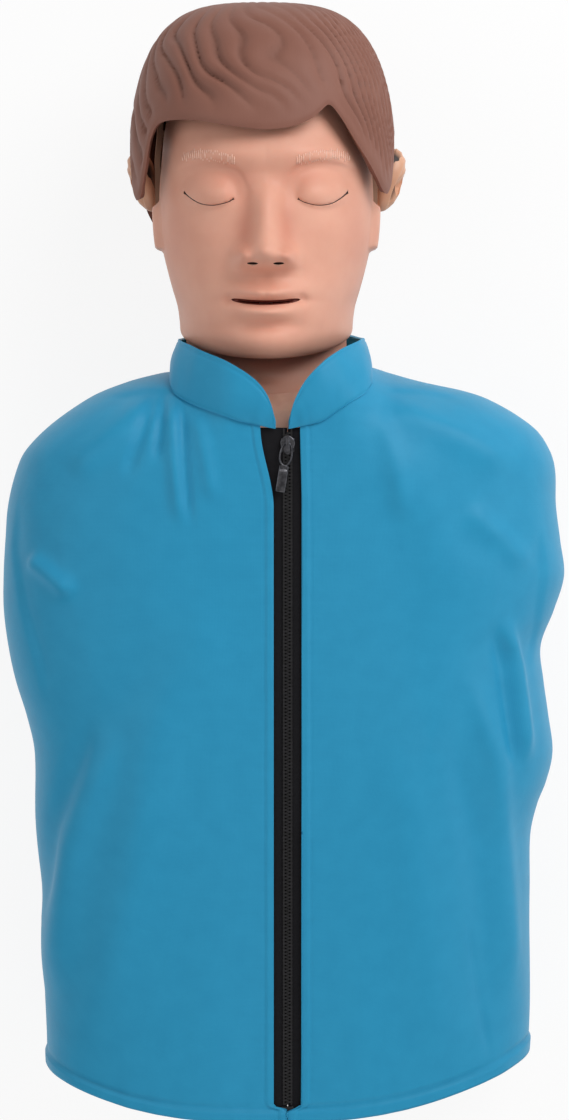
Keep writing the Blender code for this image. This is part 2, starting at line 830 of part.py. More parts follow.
HAIRLINE = [
    (0, 0.271),
    (20, 0.268),
    (40, 0.263),
    (55, 0.250),
    (65, 0.237),
    (72, 0.234),
    (77, 0.250),
    (82, 0.2745),
    (90, 0.2755),
    (100, 0.2745),
    (108, 0.255),
    (120, 0.228),
    (140, 0.207),
    (180, 0.200),
]


def hair_place(across, along):
    """Hair combed back in waved locks, from the crown down to the hairline."""
    turn = 2 * math.pi * across
    degrees = math.degrees(min(turn, 2 * math.pi - turn))
    crown = CROWN_Y - HEAD_Y
    polar = polar_of(through(HAIRLINE, degrees), crown, SKULL_BASE + 0.012) * along
    spot = ovoid(turn, polar, HAIR_HALF_WIDTH, crown, SKULL_BASE + 0.012, HAIR_FRONT, HAIR_BACK)
    wave = HAIR_WAVE * (math.cos(10 * turn + 7 * along) - 1) * eased(along * 4)
    return spot + (spot - Vector((0, HEAD_Y, HEAD_Z))).normalized() * wave


def hair():
    cap = sheet(36, 8, hair_place, HAIR_WALL, grow=1.0, closed=True)
    return name_part(cap, "hair", HAIR)


# Face, from the forehead over the chin to the throat: middle y and z, then side x, y and z

FACE_ROWS = [
    (0.000, 0.3180, 0.1720, 0.0560, 0.3160, 0.1220),
    (0.100, 0.3000, 0.1870, 0.0630, 0.2980, 0.1190),
    (0.200, 0.2810, 0.1940, 0.0670, 0.2790, 0.1170),
    (0.300, 0.2620, 0.2000, 0.0690, 0.2600, 0.1150),
    (0.400, 0.2420, 0.2000, 0.0705, 0.2410, 0.1140),
    (0.500, 0.2220, 0.1990, 0.0705, 0.2220, 0.1130),
    (0.580, 0.2040, 0.1985, 0.0690, 0.2050, 0.1120),
    (0.660, 0.1870, 0.2000, 0.0655, 0.1890, 0.1100),
    (0.720, 0.1720, 0.2030, 0.0620, 0.1760, 0.1070),
    (0.780, 0.1580, 0.2032, 0.0590, 0.1660, 0.1040),
    (0.840, 0.1450, 0.2020, 0.0570, 0.1590, 0.1020),
    (0.890, 0.1340, 0.1985, 0.0555, 0.1550, 0.1010),
    (0.930, 0.1265, 0.1900, 0.0550, 0.1530, 0.1000),
    (0.965, 0.1275, 0.1765, 0.0545, 0.1520, 0.1000),
    (1.000, 0.1380, 0.1620, 0.0540, 0.1515, 0.1000),
]
NOSE_RISE = [
    (0.176, 0.00),
    (0.181, 0.25),
    (0.186, 0.80),
    (0.191, 1.00),
    (0.197, 0.94),
    (0.210, 0.62),
    (0.225, 0.32),
    (0.236, 0.10),
    (0.244, 0.00),
]
NOSE_WIDTH = [(0.180, 0.0140), (0.190, 0.0125), (0.205, 0.0090), (0.235, 0.0080)]
NOSE_HEIGHT = 0.029


def relief(x, y, raised=1.0):
    """How far the features stand out from the plain face; raised 0 keeps only the hollows."""
    side = abs(x)
    nose = NOSE_HEIGHT * through(NOSE_RISE, y) * math.exp(-((side / through(NOSE_WIDTH, y)) ** 2.2))
    out = nose
    out += 0.0080 * bump(side, y, 0.0135, 0.188, 0.0055, 0.0065)
    out += 0.0040 * bump(side, y, 0.028, 0.251, 0.026, 0.008)
    out += 0.0055 * bump(side, y, 0.031, 0.2305, 0.013, 0.0075)
    out += 0.0030 * bump(side, y, 0.045, 0.207, 0.018, 0.018)
    out += 0.0080 * bump(x, y, 0.0, 0.1695, 0.019, 0.0045)
    out += 0.0070 * bump(x, y, 0.0, 0.1555, 0.018, 0.0048)
    out += 0.0040 * bump(x, y, 0.0, 0.135, 0.018, 0.009)
    hollow = 0.0030 * bump(x, y, 0.0, 0.238, 0.012, 0.008)
    hollow += 0.0065 * bump(side, y, 0.031, 0.236, 0.017, 0.011)
    hollow += 0.0012 * bump(x, y, 0.0, 0.177, 0.004, 0.006)
    hollow += 0.0055 * bump(x, y, 0.0, MOUTH_Y, 0.024, 0.0030)
    hollow += 0.0030 * bump(x, y, 0.0, 0.1465, 0.020, 0.0045)
    return out * raised - hollow


def face_surface(share, along, raised=1.0):
    """A point of the face: share -1 to 1 from its right to its left edge, along 0 to 1 down it."""
    row = [through([(r[0], r[i]) for r in FACE_ROWS], along) for i in range(1, 6)]
    middle_y, middle_z, side_x, side_y, side_z = row
    angle = math.radians(90) * (0.72 * share + 0.28 * share**3)
    fall = max(math.cos(angle), 0.0) ** 0.9
    x = side_x * math.sin(angle)
    y = side_y + (middle_y - side_y) * fall
    z = side_z + (middle_z - side_z) * fall
    front = eased((z - 0.150) / 0.03) * eased((0.965 - along) / 0.05)
    return Vector((x, y, z + relief(x, y, raised) * front))


def face_point(share, along, inset):
    """A point at a depth under the plain face, square to it."""
    step = 0.01
    across = face_surface(share + step, along, 0.0) - face_surface(share - step, along, 0.0)
    down = face_surface(share, along + step, 0.0) - face_surface(share, along - step, 0.0)
    return face_surface(share, along, 0.0) - down.cross(across).normalized() * inset


def mask_place(across, along):
    share = 2 * across - 1
    spot = face_surface(share, along)
    flare = MASK_FLARE * eased((abs(share) - 0.90) / 0.08) * eased((along - 0.44) / 0.03)
    flare *= eased((0.60 - along) / 0.02)
    spot.x += math.copysign(flare, share)
    return spot


def lens(half_width, height, depth):
    """Cutter in the shape of parted lips."""
    points = list(arc(0, 0, 1, 0, 350, 35))
    return flat([(x * half_width, power(y, 1.4) * height / 2) for x, y in points], depth)


def face_skin():
    """The soft face that pulls over the front of the head."""
    mask = applied(sheet(22, 28, mask_place, MASK_WALL))
    mouth = lens(MOUTH_HALF_WIDTH, MOUTH_GAPE, 0.03)
    mouth.location = (0, MOUTH_Y, PORT_TOP_Z + 0.0105)
    cut(mask, mouth)
    for side in (-1, 1):
        hole = rod(0.0028, 0.012, 12)
        put(hole, Matrix.Diagonal((1.0, 1.3, 1.0, 1)))
        put(hole, Matrix.Rotation(math.radians(62), 4, "X"))
        hole.location = (side * 0.0072, 0.1815, 0.2105)
        cut(mask, hole)
    return name_part(mask, "face_skin", SKIN)


def face_inset(share):
    """Depth of the hard face under the soft one, which it carries along its edges."""
    return FACE_INSET + (MASK_WALL + 0.0005 - FACE_INSET) * eased((abs(share) - 0.80) / 0.15)


def skull_face():
    """The hard front of the head behind the soft face, with the port for the mouth."""

    def place(across, along):
        share = 1.96 * across - 0.98
        return face_point(share, 0.03 + 0.68 * along, face_inset(share))

    face = applied(sheet(14, 14, place, FACE_WALL))
    frame = block((0.052, 0.032, PORT_WALL), (0, 0.1660, PORT_TOP_Z - PORT_WALL / 2), 0.0015)
    join(face, applied(frame))
    port = block((PORT_WIDTH, PORT_HEIGHT, 0.05), (0, MOUTH_Y, PORT_TOP_Z), 0.004)
    cut(face, applied(port))
    for side in (-1, 1):
        hole = put(rod(JAW_PIN_RADIUS + FIT_GAP, 0.02, 16), ALONG_X)
        hole.location = (side * 0.060, JAW_PIVOT_Y, JAW_PIVOT_Z)
        cut(face, hole)
    return name_part(face, "skull_face", PLASTIC)


def mouth_insert():
    """The dark liner of the mouth, with the hole that leads to the airway."""
    gap = 2 * 0.0005
    body = block((PORT_WIDTH - gap, PORT_HEIGHT - gap, 0.024), (0, MOUTH_Y, PORT_TOP_Z - 0.0105), 0.0035)
    applied(body)
    rim = block((PORT_WIDTH + 0.004, PORT_HEIGHT + 0.004, 0.0012), (0, MOUTH_Y, PORT_TOP_Z + 0.0009))
    join(body, rim)
    inside = block((PORT_WIDTH - 0.005, PORT_HEIGHT - 0.005, 0.03), (0, MOUTH_Y, PORT_TOP_Z - 0.005), 0.002)
    exit_hole = rod(0.0045, 0.02, 16)
    exit_hole.location = (0, MOUTH_Y, PORT_TOP_Z - 0.024)
    cut(body, applied(inside), exit_hole)
    return name_part(body, "mouth_insert", LINER)


def lower_jaw():
    """The chin and the two arms that hang it in the head."""

    def place(across, along):
        return face_point(1.5 * across - 0.75, 0.85 + 0.075 * along, JAW_INSET)

    chin = applied(sheet(16, 6, place, JAW_WALL))
    start = face_point(0.75, 0.86, JAW_INSET + JAW_WALL)
    reach = Vector((0, JAW_PIVOT_Y - start.y, JAW_PIVOT_Z - start.z))
    length = reach.length + 0.010
    middle = Vector((0, start.y, start.z)) + reach.normalized() * (length / 2 - 0.0028)
    tilt = math.atan2(reach.z, reach.y)
    for side in (-1, 1):
        arm = block((JAW_ARM_THICKNESS, length, JAW_ARM_DEPTH), (0, 0, 0), 0.0015)
        applied(arm)
        put(arm, Matrix.Rotation(tilt, 4, "X"))
        put(arm, Matrix.Translation((side * JAW_ARM_X, middle.y, middle.z)))
        join(chin, arm)
        hole = put(rod(JAW_PIN_RADIUS + FIT_GAP, 0.02, 16), ALONG_X)
        hole.location = (side * JAW_ARM_X, JAW_PIVOT_Y, JAW_PIVOT_Z)
        cut(chin, hole)
    put(chin, Matrix.Translation((0, -JAW_PIVOT_Y, -JAW_PIVOT_Z)))
    chin.location = (0, JAW_PIVOT_Y, JAW_PIVOT_Z)
    return name_part(chin, "lower_jaw", PLASTIC)


def jaw_pins():
    for side, end in ((-1, "right"), (1, "left")):
        pin = put(rod(JAW_PIN_RADIUS, 0.0215, 16), ALONG_X)
        pin.location = (side * 0.0545, JAW_PIVOT_Y, JAW_PIVOT_Z)
        name_part(pin, "jaw_pin_" + end, STEEL)


# Jacket

# How much wider than the torso the jacket lies, on the left and on the right
LEFT_EASE = [
    (-0.3645, 0.0060),
    (-0.3400, 0.0110),
    (-0.3150, 0.0128),
    (-0.2700, 0.0117),
    (-0.2200, 0.0101),
    (-0.1850, 0.0086),
    (-0.1650, 0.0119),
    (-0.1500, 0.0166),
    (-0.1300, 0.0194),
    (-0.1050, 0.0150),
    (-0.0830, 0.0109),
    (-0.0600, 0.0085),
    (-0.0366, 0.0165),
    (-0.0133, 0.0230),
    (0.0100, 0.0200),
    (0.0333, 0.0168),
    (0.0565, 0.0160),
    (0.0700, 0.0110),
    (0.0850, 0.0030),
    (0.1030, -0.0260),
    (0.1140, -0.0470),
    (0.1230, -0.0660),
]
RIGHT_EASE = [
    (-0.3645, 0.0020),
    (-0.3400, 0.0080),
    (-0.3150, 0.0086),
    (-0.2700, 0.0087),
    (-0.2200, 0.0093),
    (-0.1760, 0.0101),
    (-0.1300, 0.0074),
    (-0.1064, 0.0108),
    (-0.0831, 0.0169),
    (-0.0598, 0.0207),
    (-0.0366, 0.0229),
    (-0.0133, 0.0226),
    (0.0100, 0.0215),
    (0.0333, 0.0200),
    (0.0565, 0.0145),
    (0.0700, 0.0075),
    (0.0870, -0.0070),
    (0.1050, -0.0285),
    (0.1150, -0.0465),
    (0.1230, -0.0640),
]

# Folds of the front, each from one end to the other: x, y, x, y, half width, height
FOLDS = [
    (-0.158, -0.005, -0.120, -0.060, 0.0130, 0.0060),
    (-0.112, -0.120, -0.150, -0.290, 0.0160, 0.0045),
    (-0.070, 0.095, -0.062, 0.030, 0.0090, 0.0035),
    (-0.100, -0.050, -0.060, -0.200, 0.0180, 0.0025),
    (0.146, -0.045, 0.158, -0.140, 0.0110, 0.0060),
    (0.130, -0.095, 0.148, -0.320, 0.0140, 0.0045),
    (0.105, 0.060, 0.150, 0.010, 0.0150, 0.0040),
    (0.075, -0.150, 0.090, -0.330, 0.0160, 0.0025),
]


def jacket_half_width(y, side=1):
    """Half width of the jacket at y; side 1 is the manikin's left."""
    return half_width(y) + through(LEFT_EASE if side > 0 else RIGHT_EASE, y)


def fold(x, y, line):
    """Height of one fold at a point."""
    x0, y0, x1, y1, half, height = line
    run_x, run_y = x1 - x0, y1 - y0
    length = math.hypot(run_x, run_y)
    along = ((x - x0) * run_x + (y - y0) * run_y) / length**2
    off = ((x - x0) * run_y - (y - y0) * run_x) / length
    ends = eased((along + 0.15) / 0.4) * eased((1.15 - along) / 0.4)
    return height * ends * math.exp(-((off / half) ** 2))


def jacket_point(share, along, front=True, thick=0.0):
    """A point of the jacket: share 0 at its middle to 1 at the side seam, along 0 hem to 1 top."""
    bend = 0.72
    squareness = 0.62 if front else 0.42
    angle = math.radians(90) * abs(share)
    across = power(math.sin(angle), 0.66 if front else 0.36)
    low = HEM_Y + HEM_RISE * across**3
    y = low + (JACKET_BEND_Y - low) * min(along / bend, 1)
    fall = 1.0
    if along > bend:
        climb = math.radians(90) * (along - bend) / (1 - bend)
        y += (JACKET_TOP_Y - thick - JACKET_BEND_Y) * power(math.sin(climb), squareness)
        fall = power(max(math.cos(climb), 0), 0.50 if front else 0.38)
    x = (jacket_half_width(y, share) - thick) * across
    side_fall = power(max(math.cos(angle), 0), 0.46 if front else 0.38)
    high = zip_z(y) + TAPE / 2 + FIT_GAP + CLOTH
    if not front:
        z = SIDE_SEAM_Z + (JACKET_FLOOR_Z - BACK_FULLNESS - SIDE_SEAM_Z) * side_fall * fall
        return Vector((math.copysign(x, share), y, max(z, JACKET_FLOOR_Z)))
    z = SIDE_SEAM_Z + SEAM_GAP + (high - SIDE_SEAM_Z - SEAM_GAP) * side_fall * fall
    beside_zip = 1 - eased((abs(math.copysign(x, share) - ZIP_X) - 0.034) / 0.035)
    z += max(high - z, 0) * beside_zip
    hem = eased((low + HEM_BAND + 0.004 - y) / 0.004) * HEM_ROLL
    return Vector((math.copysign(x, share), y, z + hem))


def neck_opening():
    """Cutter for the neck hole of the jacket."""
    hole = rod(1.0, 0.25, 40)
    put(hole, Matrix.Diagonal((NECKLINE_HALF_WIDTH, NECKLINE_REACH, 1, 1)))
    hole.location = (NECKLINE_X, NECKLINE_Y, NECKLINE_BACK_Z + 0.125)
    return hole


def jacket_fronts():
    for side, end in ((-1, "right"), (1, "left")):

        def place(across, along, side=side):
            edge = (ZIP_X * side + PANEL_EDGE) / jacket_half_width(0, side)
            first = math.degrees(math.asin(power(edge, 1 / 0.66))) / 90
            spot = jacket_point(side * (first + (1 - first) * across), along)
            near = eased((abs(spot.x - ZIP_X) - PANEL_EDGE - 0.004) / 0.03)
            rise = sum(fold(spot.x, spot.y, line) for line in FOLDS)
            inner = eased((spot.z - SIDE_SEAM_Z - 0.02) / 0.04)
            spot.z += rise * near * inner
            if across < 1e-6:
                spot.x = ZIP_X + side * PANEL_EDGE
            return spot

        panel = applied(sheet(12, 20, place, CLOTH, grow=-1.0 * side))
        cut(panel, neck_opening())
        name_part(panel, "jacket_front_" + end, CLOTH_BLUE)


def jacket_back():
    def place(across, along):
        return jacket_point(2 * across - 1, along, front=False)

    panel = applied(sheet(16, 12, place, CLOTH, grow=-1.0))
    cut(panel, neck_opening())
    return name_part(panel, "jacket_back", CLOTH_BLUE)


# Collar, from the front to the nape: degrees, seam x, y and z, then top edge x, y and z

COLLAR = [
    (0, 0.0040, 0.0810, 0.2038, 0.0040, 0.0850, 0.2050),
    (8, 0.0120, 0.0820, 0.2036, 0.0090, 0.0990, 0.2070),
    (22, 0.0250, 0.0850, 0.2020, 0.0170, 0.1120, 0.2070),
    (38, 0.0365, 0.0925, 0.1965, 0.0300, 0.1230, 0.2040),
    (55, 0.0480, 0.0995, 0.1900, 0.0440, 0.1330, 0.1930),
    (75, 0.0568, 0.1095, 0.1740, 0.0565, 0.1410, 0.1690),
    (95, 0.0602, 0.1190, 0.1450, 0.0620, 0.1465, 0.1380),
    (120, 0.0605, 0.1255, 0.1050, 0.0622, 0.1500, 0.1000),
    (145, 0.0500, 0.1275, 0.0680, 0.0480, 0.1580, 0.0640),
    (165, 0.0260, 0.1285, 0.0470, 0.0250, 0.1600, 0.0440),
    (180, 0.0000, 0.1290, 0.0420, 0.0000, 0.1605, 0.0390),
]


def collar():
    """The stand-up collar, open at the front over the end of the zip."""

    def place(across, along):
        turn = 180 - abs(across - 0.5) * 360
        side = -1 if across < 0.5 else 1
        low_x, low_y, low_z, top_x, top_y, top_z = (through([(r[0], r[i]) for r in COLLAR], turn) for i in range(1, 7))
        bow = 0.0015 * math.sin(math.pi * along)
        x = low_x + (top_x - low_x) * along + bow
        y = low_y + (top_y - low_y) * along
        z = low_z + (top_z - low_z) * along + bow * eased((60 - turn) / 40)
        shift = COLLAR_X + (ZIP_X - COLLAR_X) * eased((62 - turn) / 50)
        return Vector((shift + side * x, y, z))

    band = sheet(30, 4, place, COLLAR_CLOTH, grow=-1.0)
    return name_part(band, "jacket_collar", CLOTH_BLUE)


# Zip

ZIP_TILT = math.atan(ZIP_SLOPE)
ZIP_LENGTH = (ZIP_TOP_Y - ZIP_END_Y) / math.cos(ZIP_TILT)


def on_zip(y):
    """Frame of the zip at y: its Y runs up the chain and its Z stands on it."""
    return Matrix.Translation((ZIP_X, y, zip_z(y))) @ Matrix.Rotation(ZIP_TILT, 4, "X")


def zip_chain():
    mid = on_zip((ZIP_TOP_Y + ZIP_END_Y) / 2)
    count = int(ZIP_LENGTH / TOOTH_PITCH)
    for side, end in ((-1, "right"), (1, "left")):
        width = TAPE_REACH - TAPE_EDGE
        tape = block((width, ZIP_LENGTH, TAPE), (0, 0, 0))
        put(tape, mid @ Matrix.Translation((side * (TAPE_EDGE + width / 2), 0, 0)))
        name_part(tape, "zip_tape_" + end, TAPE_BLACK)
        start = -count * TOOTH_PITCH / 2
        points = [(BEAD_OUTER, start), (BEAD_OUTER, -start)]
        shift = TOOTH_PITCH * (0.25 + 0.25 * side)
        for i in range(count, 0, -1):
            foot = start + (i - 1) * TOOTH_PITCH + shift + 0.0005
            points += [
                (BEAD_INNER, foot + TOOTH_WIDTH),
                (-TOOTH_REACH + 0.0003, foot + TOOTH_WIDTH - 0.0006),
                (-TOOTH_REACH + 0.0003, foot + 0.0006),
                (BEAD_INNER, foot),
            ]
        comb = flat(points, TOOTH_DEPTH)
        if side < 0:
            put(comb, Matrix.Rotation(math.pi, 4, "Y"))
        put(comb, mid)
        name_part(comb, "zip_teeth_" + end, TEETH)


def zip_stop():
    stop = block((0.0076, 0.0050, 0.0034), (0, 0, 0), 0.0006)
    put(stop, on_zip(ZIP_END_Y - 0.0032))
    return name_part(stop, "zip_stop", TEETH)


PLATE_LOW = TOOTH_DEPTH / 2 + 0.0004
BRIDGE_BAR = PLATE_LOW + SLIDER_PLATE + BRIDGE_HEIGHT
PULL_AXIS_Z = PLATE_LOW + SLIDER_PLATE + 0.0016


def zip_slider():
    """The slider: a top plate with a flange on each side of the chain and a bridge for the ring."""
    outline_points = [
        (-0.0032, -SLIDER_LENGTH / 2),
        (0.0032, -SLIDER_LENGTH / 2),
        (SLIDER_HALF_WIDTH, -0.001),
        (SLIDER_HALF_WIDTH, 0.003),
        (0.0036, SLIDER_LENGTH / 2),
        (-0.0036, SLIDER_LENGTH / 2),
        (-SLIDER_HALF_WIDTH, 0.003),
        (-SLIDER_HALF_WIDTH, -0.001),
    ]
    body = put(flat(outline_points, SLIDER_PLATE), Matrix.Translation((0, 0, PLATE_LOW + SLIDER_PLATE / 2)))
    for side in (-1, 1):
        low = TAPE / 2 + FIT_GAP
        flange = block(
            (SLIDER_FLANGE, SLIDER_LENGTH * 0.7, PLATE_LOW + 0.0005 - low),
            (side * (BEAD_OUTER + 0.0004 + SLIDER_FLANGE / 2), 0, (PLATE_LOW + 0.0005 + low) / 2),
        )
        join(body, flange)
    base = PLATE_LOW + SLIDER_PLATE - 0.0006
    bridge = wire(
        [
            (0, 0.0045, base),
            (0, 0.0042, base + 0.0024),
            (0, 0.0026, BRIDGE_BAR),
            (0, -0.0016, BRIDGE_BAR),
            (0, -0.0032, base + 0.0024),
            (0, -0.0035, base),
        ],
        0.0007,
        resolution=0,
    )
    join(body, bridge)
    place = on_zip(SLIDER_Y)
    put(body, place)
    put(body, Matrix.Translation(-place.translation))
    body.location = place.translation
    return name_part(body, "zip_slider", DARK_METAL)


def zip_pull():
    """The wire ring through the bridge with the flat tab on it."""
    points = []
    for i in range(24):
        angle = 2 * math.pi * i / 24
        share = 0.5 - 0.5 * math.cos(angle)
        wide = RING_HALF_WIDTH * math.sin(angle) * (0.72 + 0.28 * share)
        points.append((wide, 0.0005 - (RING_LENGTH + 0.0005) * share, 0))
    ring = wire(points, RING_WIRE, resolution=0, cyclic=True)
    tab = block((2 * TAB_HALF_WIDTH, TAB_LENGTH, TAB_THICKNESS), (0, -RING_LENGTH - TAB_LENGTH / 2 + 0.001, 0), 0.0004)
    applied(tab)
    join(ring, tab)
    place = on_zip(SLIDER_Y + 0.0008)
    axis = place @ Vector((0, 0, PULL_AXIS_Z))
    put(ring, place.to_3x3().to_4x4())
    ring.location = axis
    return name_part(ring, "zip_pull", DARK_METAL)


# Everything that the neck carries stands off the middle of the torso with it
ON_THE_NECK = [
    "airway_tube",
    "bracket_screw_left",
    "bracket_screw_right",
    "face_skin",
    "friction_washer_left",
    "friction_washer_right",
    "hair",
    "head_shell",
    "jaw_pin_left",
    "jaw_pin_right",
    "knuckle_screw_left",
    "knuckle_screw_right",
    "lower_jaw",
    "mouth_insert",
    "neck_axle",
    "neck_bracket",
    "neck_knuckle",
    "neck_skin",
    "skull_face",
]

clear_scene()
PARTS = collection("Parts")
PLASTIC = finish_of("shell plastic", (0.72, 0.70, 0.66), 0.5)
PLATE = finish_of("grey plastic", (0.30, 0.31, 0.32), 0.5)
SKIN = finish_of("soft skin", (0.70, 0.39, 0.28), 0.55)
EAR_SKIN = finish_of("head plastic", (0.60, 0.33, 0.21), 0.5)
FOAM = finish_of("foam", (0.75, 0.73, 0.65), 0.9)
FELT = finish_of("friction disc", (0.12, 0.12, 0.12), 0.9)
LINER = finish_of("mouth liner", (0.16, 0.03, 0.02), 0.6)
HAIR = finish_of("moulded hair", (0.22, 0.13, 0.10), 0.5)
CLEAR = finish_of("clear film", (0.80, 0.84, 0.86), 0.3)
STEEL = finish_of("spring steel", (0.55, 0.55, 0.56), 0.3, 1.0)
CLOTH_BLUE = finish_of("jacket satin", (0.04, 0.33, 0.55), 0.45)
TAPE_BLACK = finish_of("zip tape", (0.015, 0.013, 0.014), 0.9)
TEETH = finish_of("zip teeth", (0.03, 0.03, 0.03), 0.4)
DARK_METAL = finish_of("dark metal", (0.10, 0.10, 0.10), 0.35, 1.0)

back_shell()
shoulder_shell()
chest_skin()
chest_plate()
chest_pads()
lung_bag()
spring()
neck_skin()
neck_bracket()
neck_hardware()
airway_tube()
head_shell()
neck_knuckle()
hair()
face_skin()
skull_face()
mouth_insert()
lower_jaw()
jaw_pins()
jacket_back()
jacket_fronts()
collar()
zip_chain()
zip_stop()
zip_slider()
zip_pull()
for item in PARTS.objects:
    if item.modifiers:
        applied(item)
    if item.name in ON_THE_NECK:
        item.location.x += NECK_X
    smooth(item)
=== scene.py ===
# %% [markdown]
# # A CPR training manikin, dressed for a photograph
# The manikin is half a body on its back: a moulded head under a pull-over face, a sprung chest in a
# hard tub, and a sleeveless satin jacket with a zip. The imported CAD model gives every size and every
# joint, so this lesson only makes the surfaces that the eye meets and the finishes that they carry.
# X runs to the manikin's own left, Y to its head and Z out of its chest, all in metres.

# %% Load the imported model
import bisect
import math

import bmesh
import bpy
from mathutils import Matrix, Vector, noise
from mathutils.bvhtree import BVHTree


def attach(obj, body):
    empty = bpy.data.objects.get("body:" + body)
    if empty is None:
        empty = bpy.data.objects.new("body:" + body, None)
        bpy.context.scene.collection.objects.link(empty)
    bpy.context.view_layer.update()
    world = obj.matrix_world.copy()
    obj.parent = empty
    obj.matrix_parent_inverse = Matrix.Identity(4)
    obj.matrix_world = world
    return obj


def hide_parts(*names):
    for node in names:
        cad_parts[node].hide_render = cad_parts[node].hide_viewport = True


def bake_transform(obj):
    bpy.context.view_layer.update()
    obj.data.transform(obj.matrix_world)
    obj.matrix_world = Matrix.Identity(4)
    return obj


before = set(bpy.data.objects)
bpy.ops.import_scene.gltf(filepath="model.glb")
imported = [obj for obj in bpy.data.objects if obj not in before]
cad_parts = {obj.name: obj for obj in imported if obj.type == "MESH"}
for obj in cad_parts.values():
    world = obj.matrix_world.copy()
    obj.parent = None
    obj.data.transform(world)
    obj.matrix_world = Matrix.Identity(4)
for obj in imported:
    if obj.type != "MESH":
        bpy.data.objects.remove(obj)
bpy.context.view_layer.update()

# %% [markdown]
# ## The camera
# The photograph looks straight down on the manikin from far enough away that nothing bulges. The
# picture is 569 by 1120 pixels, and 0.665 mm of the chest falls on each pixel, so the distance is
# chosen first and the lens follows from it: a long lens from 2.4 m above the chest.

# %% The camera, straight above
PICTURE_HEIGHT = 1120
METRES_PER_PIXEL = 0.000665
CAMERA_HEIGHT = 2.5
CHEST_PLANE = 0.10
SENSOR = 36.0
PICTURE_MIDDLE_Y = -0.0033

camera = bpy.data.objects.new("camera", bpy.data.cameras.new("camera"))
bpy.context.scene.collection.objects.link(camera)
camera.location = (0.0, PICTURE_MIDDLE_Y, CAMERA_HEIGHT)
camera.data.sensor_width = SENSOR
camera.data.lens = SENSOR * (CAMERA_HEIGHT - CHEST_PLANE) / (PICTURE_HEIGHT * METRES_PER_PIXEL)
bpy.context.scene.camera = camera
bpy.context.scene.view_settings.view_transform = "Standard"
print("lens", round(camera.data.lens, 1), "mm")

# %% [markdown]
# ## Small helpers for materials
# A colour is written as the hex value that a paint card or a screen shows, and one function turns it
# into the linear numbers that the renderer works in. One more function adds a node, sets its values
# and makes its links, so that each material reads as a list of its layers.

# %% Colours and nodes
def colour(code):
    """Linear colour from an sRGB hex code."""
    parts = [int(code[i : i + 2], 16) / 255 for i in (1, 3, 5)]
    linear = [p / 12.92 if p <= 0.04045 else ((p + 0.055) / 1.055) ** 2.4 for p in parts]
    return (*linear, 1.0)


def add(tree, kind, links=None, **settings):
    """Adds a node; a setting is a property, or an input when it is given in inputs."""
    made = tree.nodes.new(kind)
    for name, value in settings.pop("inputs", {}).items():
        made.inputs[name].default_value = value
    for name, value in settings.items():
        setattr(made, name, value)
    for name, source in (links or {}).items():
        tree.links.new(source, made.inputs[name])
    return made


def finish(name, base, roughness, **shader_inputs):
    """A new material with its Principled shader set, and its tree to build on."""
    made = bpy.data.materials.new(name)
    made.use_nodes = True
    shader = made.node_tree.nodes["Principled BSDF"]
    shader.inputs["Base Color"].default_value = colour(base)
    shader.inputs["Roughness"].default_value = roughness
    for socket, value in shader_inputs.items():
        shader.inputs[socket].default_value = value
    return made, made.node_tree, shader


MM = 0.001


def grain(tree, size_mm, detail=2.0, distortion=0.0, vector=None):
    """Noise whose grains are about size_mm across, on the piece's own coordinates."""
    place = vector or add(tree, "ShaderNodeTexCoord").outputs["Object"]
    return add(
        tree,
        "ShaderNodeTexNoise",
        {"Vector": place},
        inputs={"Scale": 1.0 / (size_mm * MM), "Detail": detail, "Distortion": distortion},
    )


def blend_colours(tree, factor, low, high, start=0.35, end=0.65):
    """A ramp between two hex colours, driven by a pattern."""
    ramp = add(tree, "ShaderNodeValToRGB", {"Fac": factor})
    ramp.color_ramp.elements[0].position = start
    ramp.color_ramp.elements[1].position = end
    ramp.color_ramp.elements[0].color = colour(low)
    ramp.color_ramp.elements[1].color = colour(high)
    return ramp.outputs["Color"]


def raised(tree, shader, height, depth_mm, strength=1.0):
    """Bump of a real depth, on the shader's normal."""
    bump = add(
        tree, "ShaderNodeBump", {"Height": height}, inputs={"Strength": strength, "Distance": depth_mm * MM}
    )
    previous = shader.inputs["Normal"].links
    if previous:
        tree.links.new(previous[0].from_socket, bump.inputs["Normal"])
    tree.links.new(bump.outputs["Normal"], shader.inputs["Normal"])


def toned_finish(name, base, roughness, tones, tone_mm, bump=None, **shader_inputs):
    """A finish of two close tones in soft clouds; bump is a grain's size and depth in mm, and strength."""
    made, tree, shader = finish(name, base, roughness, **shader_inputs)
    cloud = blend_colours(tree, grain(tree, tone_mm).outputs["Fac"], *tones)
    tree.links.new(cloud, shader.inputs["Base Color"])
    if bump:
        size_mm, depth_mm, strength = bump
        raised(tree, shader, grain(tree, size_mm).outputs["Fac"], depth_mm, strength)
    return made


# %% [markdown]
# ## Helpers for shapes
# Most of the manikin is skin, cloth or moulding: a sheet that follows a smooth body. Each such piece
# starts from a grid, the grid's points are sent to their places by one function of across and along,
# and a wall is put on it. The same functions of the body serve every piece, so that cloth and skin
# stay clear of each other.

# %% Sheets from a grid
def eased(value):
    """0 to 1 with soft ends."""
    t = min(max(value, 0.0), 1.0)
    return t * t * (3 - 2 * t)


def bump_at(x, y, at_x, at_y, wide, tall):
    """A soft hill of height 1 on the plane."""
    return math.exp(-(((x - at_x) / wide) ** 2) - ((y - at_y) / tall) ** 2)


def power(value, exponent):
    """A power that keeps the sign."""
    return math.copysign(abs(value) ** exponent, value)


